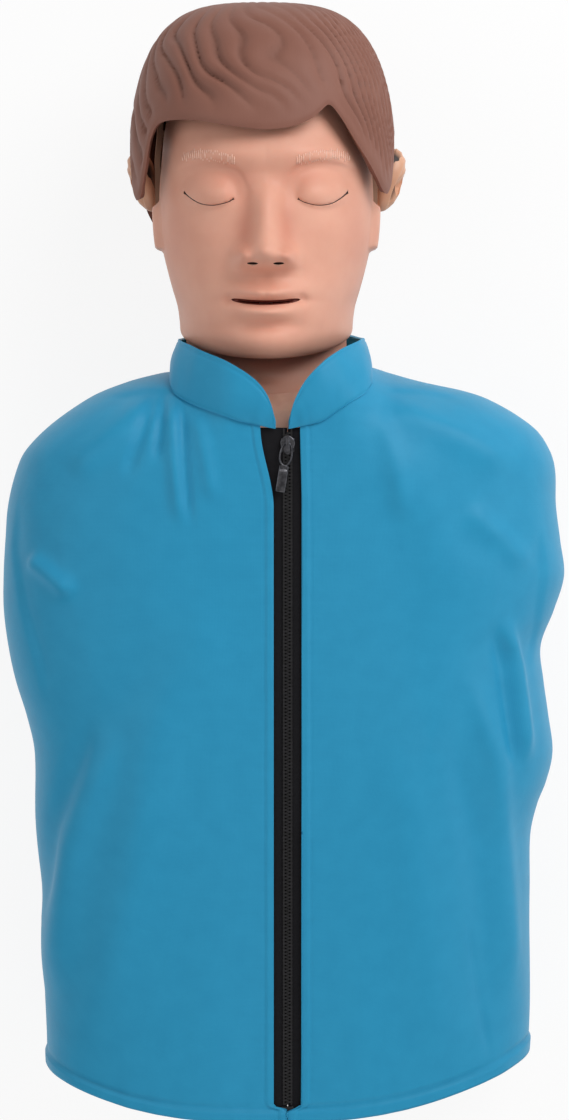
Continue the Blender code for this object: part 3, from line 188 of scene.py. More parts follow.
def through(stations, place):
    """Smooth value at place, from (place, value) stations in rising order."""
    if place <= stations[0][0]:
        return stations[0][1]
    if place >= stations[-1][0]:
        return stations[-1][1]
    last = len(stations) - 1
    index = max(i for i in range(last) if stations[i][0] <= place)
    x0, y0 = stations[index]
    x1, y1 = stations[index + 1]
    before = stations[max(index - 1, 0)]
    after = stations[min(index + 2, last)]
    rise_0 = (y1 - before[1]) / (x1 - before[0])
    rise_1 = (after[1] - y0) / (after[0] - x0)
    t = (place - x0) / (x1 - x0)
    h00 = (1 + 2 * t) * (1 - t) ** 2
    h10 = t * (1 - t) ** 2
    h01 = t * t * (3 - 2 * t)
    h11 = t * t * (t - 1)
    return h00 * y0 + h10 * (x1 - x0) * rise_0 + h01 * y1 + h11 * (x1 - x0) * rise_1


def solid(name, work, material):
    """Turns a bmesh into an object of the scene."""
    mesh = bpy.data.meshes.new(name)
    work.to_mesh(mesh)
    work.free()
    mesh.materials.append(material)
    item = bpy.data.objects.new(name, mesh)
    bpy.context.scene.collection.objects.link(item)
    return item


def as_piece(name, work, material):
    """Turns a bmesh into a finished piece at the origin."""
    piece = solid(name, work, material)
    piece.data.shade_smooth()
    return piece


def lofted(rings):
    """A closed bmesh through rings of points, with a flat cap at each end."""
    work = bmesh.new()
    rings = [[work.verts.new(point) for point in ring] for ring in rings]
    count = len(rings[0])
    for ring, beside in zip(rings, rings[1:]):
        for n in range(count):
            work.faces.new((ring[n], ring[(n + 1) % count], beside[(n + 1) % count], beside[n]))
    work.faces.new(rings[0])
    work.faces.new(rings[-1])
    bmesh.ops.recalc_face_normals(work, faces=work.faces)
    return work


def packed_box(name):
    """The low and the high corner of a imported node."""
    corners = [Vector(c) for c in bpy.data.objects[name].bound_box]
    return tuple(Vector([pick(c[i] for c in corners) for i in range(3)]) for pick in (min, max))


def grid_sheet(columns, rows, place, closed=False):
    """A grid sent to place(across, along); its UV map holds across and along."""
    work = bmesh.new()
    bmesh.ops.create_grid(work, x_segments=columns, y_segments=rows, size=0.5)
    flow = work.loops.layers.uv.new("flow")
    for face in work.faces:
        for loop in face.loops:
            loop[flow].uv = (loop.vert.co.x + 0.5, loop.vert.co.y + 0.5)
    for vertex in work.verts:
        vertex.co = place(vertex.co.x + 0.5, vertex.co.y + 0.5)
    if closed:
        bmesh.ops.remove_doubles(work, verts=work.verts, dist=1e-6)
    return work


def even_steps(curve, crowd=lambda spot: 0.0, count=1500):
    """Spreads steps evenly along a curve, closer where crowd says so; gives parameters and lengths."""
    spots = [curve(n / count) for n in range(count + 1)]
    lengths, weights = [0.0], [0.0]
    for a, b in zip(spots, spots[1:]):
        step = (b - a).length
        lengths.append(lengths[-1] + step)
        weights.append(weights[-1] + step * (1 + crowd(b)))

    def parameter(share):
        target = min(max(share, 0.0), 1.0) * weights[-1]
        index = min(max(bisect.bisect_left(weights, target), 1), count)
        gap = weights[index] - weights[index - 1]
        return (index - 1 + (target - weights[index - 1]) / gap if gap > 0 else index) / count

    return parameter, lambda share: lengths[round(parameter(share) * count)]


def wall(piece, thickness, outwards=False):
    """Gives a sheet its thickness, on the side away from the eye unless told otherwise."""
    shell = piece.modifiers.new("wall", "SOLIDIFY")
    shell.thickness = thickness
    shell.offset = 1.0 if outwards else -1.0


def settle(piece):
    """Makes a piece's modifiers part of its mesh."""
    graph = bpy.context.evaluated_depsgraph_get()
    mesh = bpy.data.meshes.new_from_object(piece.evaluated_get(graph))
    piece.modifiers.clear()
    piece.data = mesh


def cloth_panel(name, work, material, thickness, turned=True):
    """A sheet of cloth with its thickness; its faces are turned over where its grid runs backwards."""
    if turned:
        bmesh.ops.reverse_faces(work, faces=work.faces)
    panel = as_piece(name, work, material)
    wall(panel, thickness)
    settle(panel)
    return panel


NECK_X = -0.0120


def onto_neck(piece):
    """The head is made about x = 0; the neck that carries it stands 12 mm to the right of that."""
    piece.data.transform(Matrix.Translation((NECK_X, 0, 0)))


# %% [markdown]
# ## The line of the zip and the shape of the jacket's front
# Everything on the front is measured from the zip, which runs straight down the chest at x = 2 mm
# and falls 40 mm in every metre towards the hem. The jacket's outline in plan was read off the
# photograph: widest over the upper arms' stumps, narrow at the waist, rounded at the hem. The
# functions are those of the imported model, so the finer cloth stays inside its box.

# %% The jacket's plain surface
ZIP_X = 0.002
ZIP_TOP_Y, ZIP_END_Y = 0.081, -0.3535
ZIP_MID_Z, ZIP_SLOPE = 0.1965, 0.040
HEM_Y, JACKET_TOP_Y, JACKET_BEND_Y = -0.3645, 0.1230, 0.030
SIDE_SEAM_Z, JACKET_FLOOR_Z = 0.050, 0.0011
CLOTH, PANEL_EDGE = 0.0009, 0.0088
WAIST_HALF_WIDTH, TORSO_WIDENING = 0.150, 0.014

# How much wider than the torso the jacket lies, at heights from the hem up
LEFT_EASE = [
    (-0.3645, 0.0060), (-0.3400, 0.0110), (-0.3150, 0.0128), (-0.2700, 0.0117), (-0.2200, 0.0101),
    (-0.1850, 0.0086), (-0.1650, 0.0119), (-0.1500, 0.0166), (-0.1300, 0.0194), (-0.1050, 0.0150),
    (-0.0830, 0.0109), (-0.0600, 0.0085), (-0.0366, 0.0165), (-0.0133, 0.0230), (0.0100, 0.0200),
    (0.0333, 0.0168), (0.0565, 0.0160), (0.0700, 0.0120), (0.0850, 0.0010), (0.1030, -0.0270),
    (0.1100, -0.0470), (0.1150, -0.0700), (0.1230, -0.0980),
]
RIGHT_EASE = [
    (-0.3645, 0.0020), (-0.3400, 0.0080), (-0.3150, 0.0086), (-0.2700, 0.0087), (-0.2200, 0.0093),
    (-0.1760, 0.0101), (-0.1300, 0.0074), (-0.1064, 0.0108), (-0.0831, 0.0169), (-0.0598, 0.0207),
    (-0.0366, 0.0229), (-0.0133, 0.0226), (0.0100, 0.0215), (0.0333, 0.0200), (0.0565, 0.0145),
    (0.0700, 0.0080), (0.0870, -0.0090), (0.1050, -0.0345), (0.1150, -0.0580), (0.1230, -0.0850),
]


def zip_z(y):
    """Height of the zip's chain at y."""
    return ZIP_MID_Z + ZIP_SLOPE * y


def jacket_half_width(y, side):
    """Half width of the jacket at y, on the manikin's left where side is above 0."""
    torso = WAIST_HALF_WIDTH + TORSO_WIDENING * eased((y + 0.342) / 0.458 * 1.3)
    return torso + through(LEFT_EASE if side > 0 else RIGHT_EASE, y)


def hem_rise(side, across):
    """How far the hem climbs towards the side; the manikin's left corner is the rounder one."""
    return 0.038 * across**2.2 if side > 0 else 0.030 * across**3


def jacket_surface(share, along, front=True):
    """The jacket without folds: share 0 at its middle to 1 at the side, along 0 hem to 1 top."""
    bend = 0.72
    angle = math.radians(90) * abs(share)
    across = power(math.sin(angle), 0.66 if front else 0.36)
    low = HEM_Y + hem_rise(share, across)
    y = low + (JACKET_BEND_Y - low) * min(along / bend, 1)
    fall = 1.0
    if along > bend:
        climb = math.radians(90) * (along - bend) / (1 - bend)
        y += (JACKET_TOP_Y - JACKET_BEND_Y) * power(math.sin(climb), 0.62 if front else 0.42)
        fall = power(max(math.cos(climb), 0), 0.50 if front else 0.38)
    x = jacket_half_width(y, share) * across
    side_fall = power(max(math.cos(angle), 0), 0.46 if front else 0.38)
    if not front:
        z = SIDE_SEAM_Z + (JACKET_FLOOR_Z - 0.006 - SIDE_SEAM_Z) * side_fall * fall
        return Vector((math.copysign(x, share), y, max(z, JACKET_FLOOR_Z)))
    high = zip_z(y) + 0.0018
    z = SIDE_SEAM_Z + 0.0006 + (high - SIDE_SEAM_Z - 0.0006) * side_fall * fall
    beside_zip = 1 - eased((abs(math.copysign(x, share) - ZIP_X) - 0.034) / 0.035)
    z += max(high - z, 0) * beside_zip
    return Vector((math.copysign(x, share), y, z))


# %% [markdown]
# ## The stage
# The photograph has a plain white background and light that comes from all around with a little
# more of it from above the head. The floor is a pale matt board. It shows as white to the camera
# and in reflections, while an eighth of its own shading is kept, so a soft shadow stays under the
# manikin. Four broad lamps and a pale sky light the body at a level at which colours stay as written.

# %% Floor, sky and lamps
BOARD_GLOW = 0.88
bpy.ops.mesh.primitive_plane_add(size=16)
floor = bpy.context.object
floor.name = "floor"

board, tree, shader = finish("pale studio board", "#F2F2F2", 0.9)
path = add(tree, "ShaderNodeLightPath")
seen = add(
    tree,
    "ShaderNodeMath",
    {0: path.outputs["Is Camera Ray"], 1: path.outputs["Is Glossy Ray"]},
    operation="MAXIMUM",
)
through_glass = path.outputs["Is Transmission Ray"]
seen = add(tree, "ShaderNodeMath", {0: seen.outputs[0], 1: through_glass}, operation="MAXIMUM")
share = add(tree, "ShaderNodeMath", {0: seen.outputs[0]}, operation="MULTIPLY", inputs={1: BOARD_GLOW})
white = add(tree, "ShaderNodeEmission", inputs={"Color": (1, 1, 1, 1), "Strength": 1.0})
mixed = add(tree, "ShaderNodeMixShader", {"Fac": share.outputs[0], 1: shader.outputs[0], 2: white.outputs[0]})
tree.links.new(mixed.outputs[0], tree.nodes["Material Output"].inputs["Surface"])
raised(tree, shader, grain(tree, 2.0).outputs["Fac"], 0.05)
floor.data.materials.append(board)

sky = bpy.data.worlds.new("pale sky")
bpy.context.scene.world = sky
sky.use_nodes = True
sky.node_tree.nodes["Background"].inputs["Color"].default_value = (1.0, 0.99, 0.97, 1.0)
sky.node_tree.nodes["Background"].inputs["Strength"].default_value = 0.35


def lamp(name, spot, aim, size, watts):
    """A square soft box at spot, turned to face aim."""
    light = bpy.data.objects.new(name, bpy.data.lights.new(name, "AREA"))
    light.data.size = size
    light.data.energy = watts
    light.location = spot
    light.rotation_euler = (Vector(aim) - Vector(spot)).to_track_quat("-Z", "Y").to_euler()
    bpy.context.scene.collection.objects.link(light)


lamp("key", (0.80, 1.00, 1.10), (0.05, 0.10, 0.12), 1.0, 17.0)
lamp("fill", (-1.25, 0.30, 1.15), (0.0, 0.10, 0.10), 1.3, 6.0)
lamp("side", (1.45, -0.25, 0.7), (0.0, 0.0, 0.10), 0.9, 3.5)
lamp("foot", (0.0, -1.35, 0.8), (0.0, 0.10, 0.12), 1.2, 5.5)

# %% [markdown]
# ## Soft face vinyl
# The face is a peel-off skin of soft plasticised vinyl. It is cast in a matt mould, so it has a
# broad soft gloss, very fine pores and a little depth of colour. A darker warm tone is painted shade:
# on the sides of the nose, in the hollows below the brows, at the face's turning sides, along the
# lips' parting and under the lower lip. The painted shade is kept in a colour attribute of the mesh.

# %% The skin materials
vinyl, tree, shader = finish(
    "soft face vinyl",
    "#E0A28A",
    0.50,
    **{"Subsurface Weight": 0.18, "Subsurface Scale": 0.004, "Specular IOR Level": 0.3},
)
shader.inputs["Subsurface Radius"].default_value = (1.0, 0.45, 0.3)
# Painted shade: the attribute read here mixes a darker warm tone into the skin where shade falls
painted_shade = add(tree, "ShaderNodeAttribute", attribute_name="painted_shade")
cloudy = grain(tree, 22.0, detail=3.0)
plain = blend_colours(tree, cloudy.outputs["Fac"], "#DBA08A", "#DFA690")
COLOUR_A, COLOUR_B, MIXED_COLOUR = 6, 7, 2
shaded_skin = add(
    tree,
    "ShaderNodeMix",
    {0: painted_shade.outputs["Fac"], COLOUR_A: plain},
    data_type="RGBA",
    inputs={COLOUR_B: colour("#C57A64")},
)
tree.links.new(shaded_skin.outputs[MIXED_COLOUR], shader.inputs["Base Color"])
pores = grain(tree, 0.9, detail=2.0)
raised(tree, shader, pores.outputs["Fac"], 0.06, 0.5)

HEAD_TONES = ("#C99273", "#D6A384")
head_plastic = toned_finish(
    "blow-moulded head plastic", "#D09B7C", 0.42, HEAD_TONES, 18.0, (1.2, 0.08, 0.4),
    **{"Coat Weight": 0.1, "Coat Roughness": 0.3},
)

# Under the hair, above the ears and in front of them, the moulding is painted near-black: painted shade for
# the shadowed gap between the hair and the mask
GAP_SHADE = "#2A1B17"
gap_shade_head_plastic, tree, shader = finish("head plastic, painted shade under the hair", GAP_SHADE, 0.55)
place = add(tree, "ShaderNodeSeparateXYZ", {0: add(tree, "ShaderNodeTexCoord").outputs["Object"]})
high = add(tree, "ShaderNodeMapRange", {0: place.outputs["Y"]}, inputs={1: 0.228, 2: 0.231})
before_ear = add(tree, "ShaderNodeMapRange", {0: place.outputs["Z"]}, inputs={1: 0.108, 2: 0.112})
painted = add(tree, "ShaderNodeMath", {0: high.outputs[0], 1: before_ear.outputs[0]}, operation="MULTIPLY")
cloudy = blend_colours(tree, grain(tree, 18.0).outputs["Fac"], *HEAD_TONES)
both = add(
    tree, "ShaderNodeMix", {0: painted.outputs[0], COLOUR_A: cloudy}, data_type="RGBA",
    inputs={COLOUR_B: colour(GAP_SHADE)},
)
tree.links.new(both.outputs[MIXED_COLOUR], shader.inputs["Base Color"])

# Painted shade: near-black for the inside of the eye slits, the nostrils and the airway
slit_shade = toned_finish("painted shade in slits", "#2B0F0A", 0.7, ("#210B07", "#38150D"), 1.5)
mouth_red = toned_finish("painted mouth", "#6E2B1E", 0.6, ("#64241A", "#7C3424"), 2.0)

# %% [markdown]
# ## The face
# The face is one soft casting with closed lids, a broad nose and parted lips. It could be sculpted
# by hand, but a surface with named hills and hollows stays repeatable: rows run from the forehead
# over the chin to the throat, each row is an arc, and the features are soft hills added towards the
# eye. The grid is fine enough for the lid edges, and the sizes are in metres on the real face.

# %% The plain face and its features
# Rows of the plain face: how far along it lies, y and z of its middle, then x, y and z of its side
FACE_ROWS = [
    (0.000, 0.3180, 0.1720, 0.0560, 0.3160, 0.1220),
    (0.100, 0.3000, 0.1870, 0.0630, 0.2980, 0.1190),
    (0.200, 0.2810, 0.1940, 0.0670, 0.2790, 0.1170),
    (0.300, 0.2620, 0.2000, 0.0690, 0.2600, 0.1150),
    (0.400, 0.2420, 0.2000, 0.0705, 0.2410, 0.1140),
    (0.500, 0.2220, 0.1990, 0.0705, 0.2220, 0.1130),
    (0.580, 0.2040, 0.1985, 0.0690, 0.2050, 0.1120),
    (0.660, 0.1870, 0.2000, 0.0655, 0.1890, 0.1100),
    (0.720, 0.1720, 0.2030, 0.0620, 0.1760, 0.1070),
    (0.780, 0.1580, 0.2032, 0.0590, 0.1660, 0.1040),
    (0.840, 0.1450, 0.2020, 0.0578, 0.1590, 0.1020),
    (0.890, 0.1340, 0.1985, 0.0574, 0.1550, 0.1010),
    (0.930, 0.1265, 0.1900, 0.0573, 0.1530, 0.1000),
    (0.965, 0.1275, 0.1765, 0.0572, 0.1520, 0.1000),
    (1.000, 0.1380, 0.1620, 0.0572, 0.1515, 0.1000),
]
NOSE_RISE = [
    (0.1775, 0.00), (0.1815, 0.20), (0.1855, 0.78), (0.1900, 1.00), (0.1960, 0.95),
    (0.2100, 0.62), (0.2250, 0.32), (0.2360, 0.10), (0.2440, 0.00),
]
NOSE_WIDTH = [(0.180, 0.0165), (0.190, 0.0150), (0.205, 0.0115), (0.2150, 0.0095), (0.235, 0.0078)]
NOSE_HEIGHT, DEEPEST = 0.0235, 0.0044
LID_SLIT = [
    (0.0204, 0.2279), (0.0235, 0.2259), (0.0290, 0.2243), (0.0350, 0.2238), (0.0420, 0.2254),
    (0.0480, 0.2292), (0.0530, 0.2342),
]
BROW_CREASE = [(0.0100, 0.2330), (0.0168, 0.2450), (0.0272, 0.2508), (0.0415, 0.2520), (0.0557, 0.2500)]
MOUTH_Y, MOUTH_HALF_WIDTH, MOUTH_DIP = 0.1630, 0.0217, 0.0026


def lip_level(x):
    """How far the lips' middle hangs below their corners."""
    return MOUTH_DIP * max(1 - (x / MOUTH_HALF_WIDTH) ** 2, 0.0)


def lid(side, y):
    """Height of the closed upper lid, with its sharp lower edge."""
    hill = max(1 - ((side - 0.0362) / 0.0190) ** 2 - ((y - 0.2345) / 0.0135) ** 2, 0.0) ** 1.2
    below = through(LID_SLIT, side) - y
    inside = eased((side - 0.0185) / 0.003) * eased((0.0555 - side) / 0.003)
    edge = 0.0009 * (0.5 - 0.5 * math.tanh(below / 0.0006)) * math.exp(-max(-below, 0) / 0.006)
    return 0.0078 * hill + edge * inside


def socket(side, y):
    """The eye's hollow, which drops from a soft crease below the brow."""
    below = through(BROW_CREASE, side) - y
    inside = eased((side - 0.0085) / 0.006) * eased((0.064 - side) / 0.012)
    return -0.0036 * (0.5 + 0.5 * math.tanh(below / 0.0012)) * math.exp(-max(below, 0) / 0.010) * inside


def relief(x, y):
    """How far the features stand out from the plain face."""
    side = abs(x)
    lips = y + lip_level(x)
    out = NOSE_HEIGHT * through(NOSE_RISE, y) * math.exp(-((side / through(NOSE_WIDTH, y)) ** 2.2))
    out += 0.0040 * bump_at(x, y, 0.0, 0.1920, 0.0078, 0.0070)
    out += 0.0122 * bump_at(side, y, 0.0148, 0.1890, 0.0056, 0.0060)
    out += 0.0040 * bump_at(side, y, 0.030, 0.2560, 0.026, 0.0085)
    out += lid(side, y) + socket(side, y)
    out += 0.0030 * bump_at(side, y, 0.045, 0.207, 0.018, 0.018)
    out += 0.0072 * bump_at(x, lips, 0.0, 0.1692, 0.019, 0.0043)
    out += 0.0016 * bump_at(side, lips, 0.004, 0.1672, 0.0045, 0.0026)
    out += 0.0072 * bump_at(x, lips, 0.0, 0.1566, 0.0165, 0.0044)
    out += 0.0042 * bump_at(x, y, 0.0, 0.134, 0.019, 0.009)
    out -= 0.0028 * bump_at(x, y, 0.0, 0.240, 0.012, 0.008)
    out -= 0.0040 * bump_at(side, y, 0.0300, 0.2400, 0.022, 0.0095)
    out -= 0.0036 * bump_at(side, y, 0.0165, 0.2330, 0.006, 0.0085)
    out -= 0.0012 * bump_at(x, y, 0.0, 0.177, 0.0038, 0.005)
    out -= 0.0010 * bump_at(side, y, 0.0235, 0.181, 0.006, 0.010)
    out -= 0.0022 * bump_at(x, lips, 0.0, MOUTH_Y, 0.024, 0.0024)
    out -= 0.0026 * bump_at(side, y, 0.0238, MOUTH_Y, 0.0030, 0.0035)
    out -= 0.0034 * bump_at(x, y, 0.0, 0.1465, 0.019, 0.0040)
    return out if out > 0 else -DEEPEST * math.tanh(-out / DEEPEST)


TABLE_STEPS = 2000
FACE_TABLE = [
    [through([(r[0], r[i]) for r in FACE_ROWS], n / TABLE_STEPS) for i in range(1, 6)]
    for n in range(TABLE_STEPS + 1)
]


def face_angle(share):
    """Turn round the face, in radians, for share -1 to 1 across it."""
    return math.radians(90) * (0.72 * share + 0.28 * share**3)


def face_surface(share, along, featured=True):
    """A point of the face: share -1 to 1 across, along 0 to 1 down it."""
    middle_y, middle_z, side_x, side_y, side_z = FACE_TABLE[round(min(max(along, 0), 1) * TABLE_STEPS)]
    angle = face_angle(share)
    fall = max(math.cos(angle), 0.0) ** 0.9
    x = side_x * math.sin(angle)
    y = side_y + (middle_y - side_y) * fall
    z = side_z + (middle_z - side_z) * fall
    front = eased((z - 0.150) / 0.03) * eased((0.965 - along) / 0.05)
    return Vector((x, y, z + (relief(x, y) * front if featured else 0.0)))


def mask_place(across, along):
    """The outside of the mask, with the thick flange that stands out beside the cheeks."""
    share = 2 * across - 1
    spot = face_surface(share, along)
    flare = 0.0048 * eased((abs(share) - 0.90) / 0.05) * eased((along - 0.44) / 0.03)
    flare *= eased((0.605 - along) / 0.015)
    spot.x += math.copysign(flare, share)
    return spot


# %% Cast the mask
FACE_COLUMNS, FACE_COUNT = 132, 230
MASK_WALL = 0.0028


def even_rows(along):
    """Moves rows towards the nose's underside and the lips, where the surface is steep."""
    return along - 0.055 * math.sin(2 * math.pi * along) * 0.9 + 0.022 * math.sin(4 * math.pi * along)


work = grid_sheet(FACE_COLUMNS, FACE_COUNT, lambda u, v: mask_place(u, even_rows(v)))
face = as_piece("face_mask", work, vinyl)

# The lining follows the plain face, not the features, so the mask is thicker at the nose and the lips
lining = {}
for polygon in face.data.polygons:
    for loop in polygon.loop_indices:
        across, along = face.data.uv_layers["flow"].data[loop].uv
        lining[face.data.loops[loop].vertex_index] = (across, along)
outer_count = len(face.data.vertices)
wall(face, MASK_WALL)
settle(face)
for index in range(outer_count, 2 * outer_count):
    across, along = lining[index - outer_count]
    share, step = 2 * across - 1, 0.01
    along = even_rows(along)
    plain = face_surface(share, along, False)
    run_x = face_surface(share + step, along, False) - face_surface(share - step, along, False)
    run_y = face_surface(share, along + step, False) - face_surface(share, along - step, False)
    outside = face.data.vertices[index - outer_count].co
    sunk = min(outside.z - plain.z, 0.0)
    under_jaw = Vector((-math.sin(face_angle(share)), math.cos(face_angle(share)), 0))
    inward = (-run_y.cross(run_x).normalized()).lerp(under_jaw, eased((along - 0.80) / 0.10)).normalized()
    inside = plain + inward * MASK_WALL
    face.data.vertices[index].co = inside + Vector((outside.x - plain.x, 0, sunk))
print("mask", len(face.data.polygons), "faces")

# %% [markdown]
# ## Eye slits, nostrils and the mouth
# The closed eyes are moulded as a thin slit under each lid with a small hole at either corner, and
# the mouth is cut right through, because a rescuer breathes into it. Cutting with small solids that
# carry a dark finish is the plain way: the cut walls keep the cutter's colour. The near-black inside
# the eye slits, the nostrils and the airway is painted shade, for the shade that falls in them.

# %% Find places on the mask
def skin_finder(piece):
    """Finds the outermost point of a piece above x and y."""
    tree_of = BVHTree.FromPolygons(
        [v.co.copy() for v in piece.data.vertices], [tuple(p.vertices) for p in piece.data.polygons]
    )
    return lambda x, y: tree_of.ray_cast(Vector((x, y, 0.5)), Vector((0, 0, -1)))[0]


on_face = skin_finder(face)


def thread(points, radii, material):
    """A tapered round thread through points, as a mesh with closed ends."""
    curve = bpy.data.curves.new("thread", "CURVE")
    curve.dimensions = "3D"
    curve.bevel_depth = 1.0
    curve.bevel_resolution = 2
    curve.use_fill_caps = True
    line = curve.splines.new("POLY")
    line.points.add(len(points) - 1)
    for point, spot, radius in zip(line.points, points, radii):
        point.co = (*spot, 1)
        point.radius = radius
    item = bpy.data.objects.new("thread", curve)
    bpy.context.scene.collection.objects.link(item)
    graph = bpy.context.evaluated_depsgraph_get()
    mesh = bpy.data.meshes.new_from_object(item.evaluated_get(graph))
    bpy.data.objects.remove(item)
    made = bpy.data.objects.new("thread", mesh)
    bpy.context.scene.collection.objects.link(made)
    mesh.materials.clear()
    mesh.materials.append(material)
    work = bmesh.new()
    work.from_mesh(mesh)
    bmesh.ops.remove_doubles(work, verts=work.verts, dist=1e-6)
    bmesh.ops.recalc_face_normals(work, faces=work.faces)
    work.to_mesh(mesh)
    work.free()
    return made


def ball(spot, radii, material):
    """A stretched ball as a cutter."""
    work = bmesh.new()
    bmesh.ops.create_uvsphere(work, u_segments=20, v_segments=12, radius=1.0)
    place = Matrix.Translation(spot) @ Matrix.Diagonal((*radii, 1))
    bmesh.ops.transform(work, matrix=place, verts=work.verts)
    return solid("ball", work, material)


def carve(piece, cutter, solver="EXACT"):
    """Cuts with a cutter whose own finish stays on the cut walls."""
    hole = piece.modifiers.new("carve", "BOOLEAN")
    hole.object = cutter
    hole.operation = "DIFFERENCE"
    hole.solver = solver
    hole.material_mode = "TRANSFER"
    settle(piece)
    bpy.data.objects.remove(cutter)


# %% Carve the eyes and the nostrils
SLIT_RADIUS = 0.00042
for side in (-1, 1):
    inner, outer = LID_SLIT[0][0], LID_SLIT[-1][0]
    spots, radii = [], []
    for step in range(49):
        t = step / 48
        x = inner + (outer - inner) * t
        spot = on_face(side * x, through(LID_SLIT, x) - 0.0003)
        spots.append(spot + Vector((0, 0, 0.0001)))
        corners = 1.1 * math.exp(-((t / 0.022) ** 2)) + 1.3 * math.exp(-(((1 - t) / 0.03) ** 2))
        radii.append(SLIT_RADIUS * (0.8 + 0.6 * t**4 + corners))
    carve(face, thread(spots, radii, slit_shade))
    rim = on_face(side * 0.0082, 0.1846)
    carve(face, ball(rim, (0.0036, 0.0008, 0.0030), slit_shade))
print("slits carved", len(face.data.polygons), "faces")

# %% Cut the mouth
def lip_slot(half_width, half_gape, depth, material):
    """A cutter along the line of the lips, whose floor lies depth below the skin."""
    rings = []
    for step in range(49):
        t = step / 24 - 1
        x, gape = half_width * t, half_gape * (1 - t**6) ** 0.5 + 0.00005
        middle = MOUTH_Y - lip_level(x)
        z = on_face(x, middle).z
        dip = 0.0004 * math.exp(-((x / 0.003) ** 2))
        low, high, floor_z, clear_z = middle - gape, middle + gape, z - depth, z + 0.02
        rings.append([(x, low, floor_z), (x, high, floor_z), (x, high - dip, clear_z), (x, low, clear_z)])
    return solid("lips", lofted(rings), material)


groove = lip_slot(MOUTH_HALF_WIDTH + 0.0002, 0.00140, 0.0018, mouth_red)
airway = lip_slot(MOUTH_HALF_WIDTH * 0.80, 0.00035, 0.0200, slit_shade)
carve(face, groove)
carve(face, airway)

# Painted shade on the face: the sides of the nose, the hollows below the brows, the face's turning sides, the
# lips' parting and the hollow under the lower lip
shade_layer = face.data.attributes.new("painted_shade", "FLOAT", "POINT")
for vertex, value in zip(face.data.vertices, shade_layer.data):
    x, y, z = vertex.co
    side = abs(x)
    shade_amount = 0.55 * bump_at(side, y, 0.013, 0.208, 0.006, 0.022) * (1 - bump_at(x, y, 0, 0.205, 0.006, 0.05))
    shade_amount += 0.35 * bump_at(side, y, 0.022, 0.241, 0.016, 0.007)
    shade_amount += 0.30 * bump_at(side, y, 0.058, 0.205, 0.010, 0.030)
    shade_amount += 0.40 * bump_at(x, y + lip_level(x), 0.0, MOUTH_Y, 0.024, 0.0030)
    shade_amount += 0.30 * bump_at(x, y, 0.0, 0.1455, 0.018, 0.004)
    value.value = min(shade_amount, 1.0)
face.data.shade_smooth()
onto_neck(face)
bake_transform(face)
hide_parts("face_skin")
print("mouth", round(2000 * MOUTH_HALF_WIDTH, 1), "mm wide")

# %% [markdown]
# ## The brows
# On the real face the brows are not painted: they are two rows of short upright strokes that stand a
# fraction of a millimetre out of the mould, and catch the light. Here the strokes carry a paler copy of
# the face vinyl, a painted highlight for that light. Each stroke is a small tapered cone laid into the
# skin, cut from one bmesh shape and turned a little from its neighbour.

# %% Moulded brow strokes
# Painted highlight: a paler copy of the face vinyl for the light that the strokes catch
brow_highlight_vinyl = toned_finish("brow vinyl, painted highlight", "#F0C7B4", 0.5, ("#EDBFAA", "#F3CFBE"), 3.0)
BROW = [(0.0200, 0.2515), (0.0290, 0.2540), (0.0390, 0.2562), (0.0480, 0.2572), (0.0535, 0.2560)]
STROKES, PROUD = 26, Vector((0, 0, 0.0005))
brows = bmesh.new()
for side in (-1, 1):
    for n in range(STROKES):
        t = n / (STROKES - 1)
        x = BROW[0][0] + (BROW[-1][0] - BROW[0][0]) * t
        y = through(BROW, x) + 0.0006 * math.sin(n * 2.4)
        tall = 0.0058 * (0.62 + 0.45 * math.sin(math.pi * (0.12 + 0.8 * t))) * (1 + 0.18 * math.sin(n * 1.7))
        low, high = on_face(side * x, y - tall / 2), on_face(side * (x + 0.0006 * t), y + tall / 2)
        low, high = low + PROUD, high + PROUD
        run = high - low
        made = bmesh.ops.create_cone(
            brows, cap_ends=True, segments=6, radius1=0.00042, radius2=0.00026, depth=run.length
        )
        turn = run.to_track_quat("Z", "X").to_matrix().to_4x4()
        bmesh.ops.transform(brows, matrix=Matrix.Translation((low + high) / 2) @ turn, verts=made["verts"])
brow_piece = as_piece("brow_strokes", brows, brow_highlight_vinyl)
onto_neck(brow_piece)
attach(brow_piece, "head")
print(2 * STROKES, "strokes")

# %% [markdown]
# ## The hair
# The hair is one hard moulded cap with carved locks. They start at a parting above the left eye,
# run across the head in waves some 13 mm apart and die away before the smooth front edge. Each ridge
# has a round back and a tight valley, which is the mark of a carved mould. The cap is a full ovoid
# whose lower edge follows the hairline, and the locks only cut into it, so it keeps its outer size.

# %% Hair plastic
hair_plastic, tree, shader = finish("moulded hair plastic", "#7A5145", 0.58, **{"Specular IOR Level": 0.3})
# The attribute read here paints the valleys between the locks darker than their ridges: painted shade in the
# grooves
hollow = add(tree, "ShaderNodeAttribute", attribute_name="lock_groove_shade")
groove_shaded_tone = blend_colours(tree, hollow.outputs["Fac"], "#553529", "#86594B", 0.05, 0.85)
cloud = blend_colours(tree, grain(tree, 30.0).outputs["Fac"], "#764D41", "#825A4E")
blend = add(
    tree, "ShaderNodeMix", {COLOUR_A: groove_shaded_tone, COLOUR_B: cloud}, data_type="RGBA", inputs={0: 0.35}
)
tree.links.new(blend.outputs[MIXED_COLOUR], shader.inputs["Base Color"])
strands = add(
    tree,
    "ShaderNodeMapping",
    {"Vector": add(tree, "ShaderNodeTexCoord").outputs["Object"]},
    inputs={"Rotation": (0.0, 0.0, math.radians(38)), "Scale": (1.0, 0.12, 0.5)},
)
raised(tree, shader, grain(tree, 1.6, detail=3.0, vector=strands.outputs["Vector"]).outputs["Fac"], 0.16, 0.5)

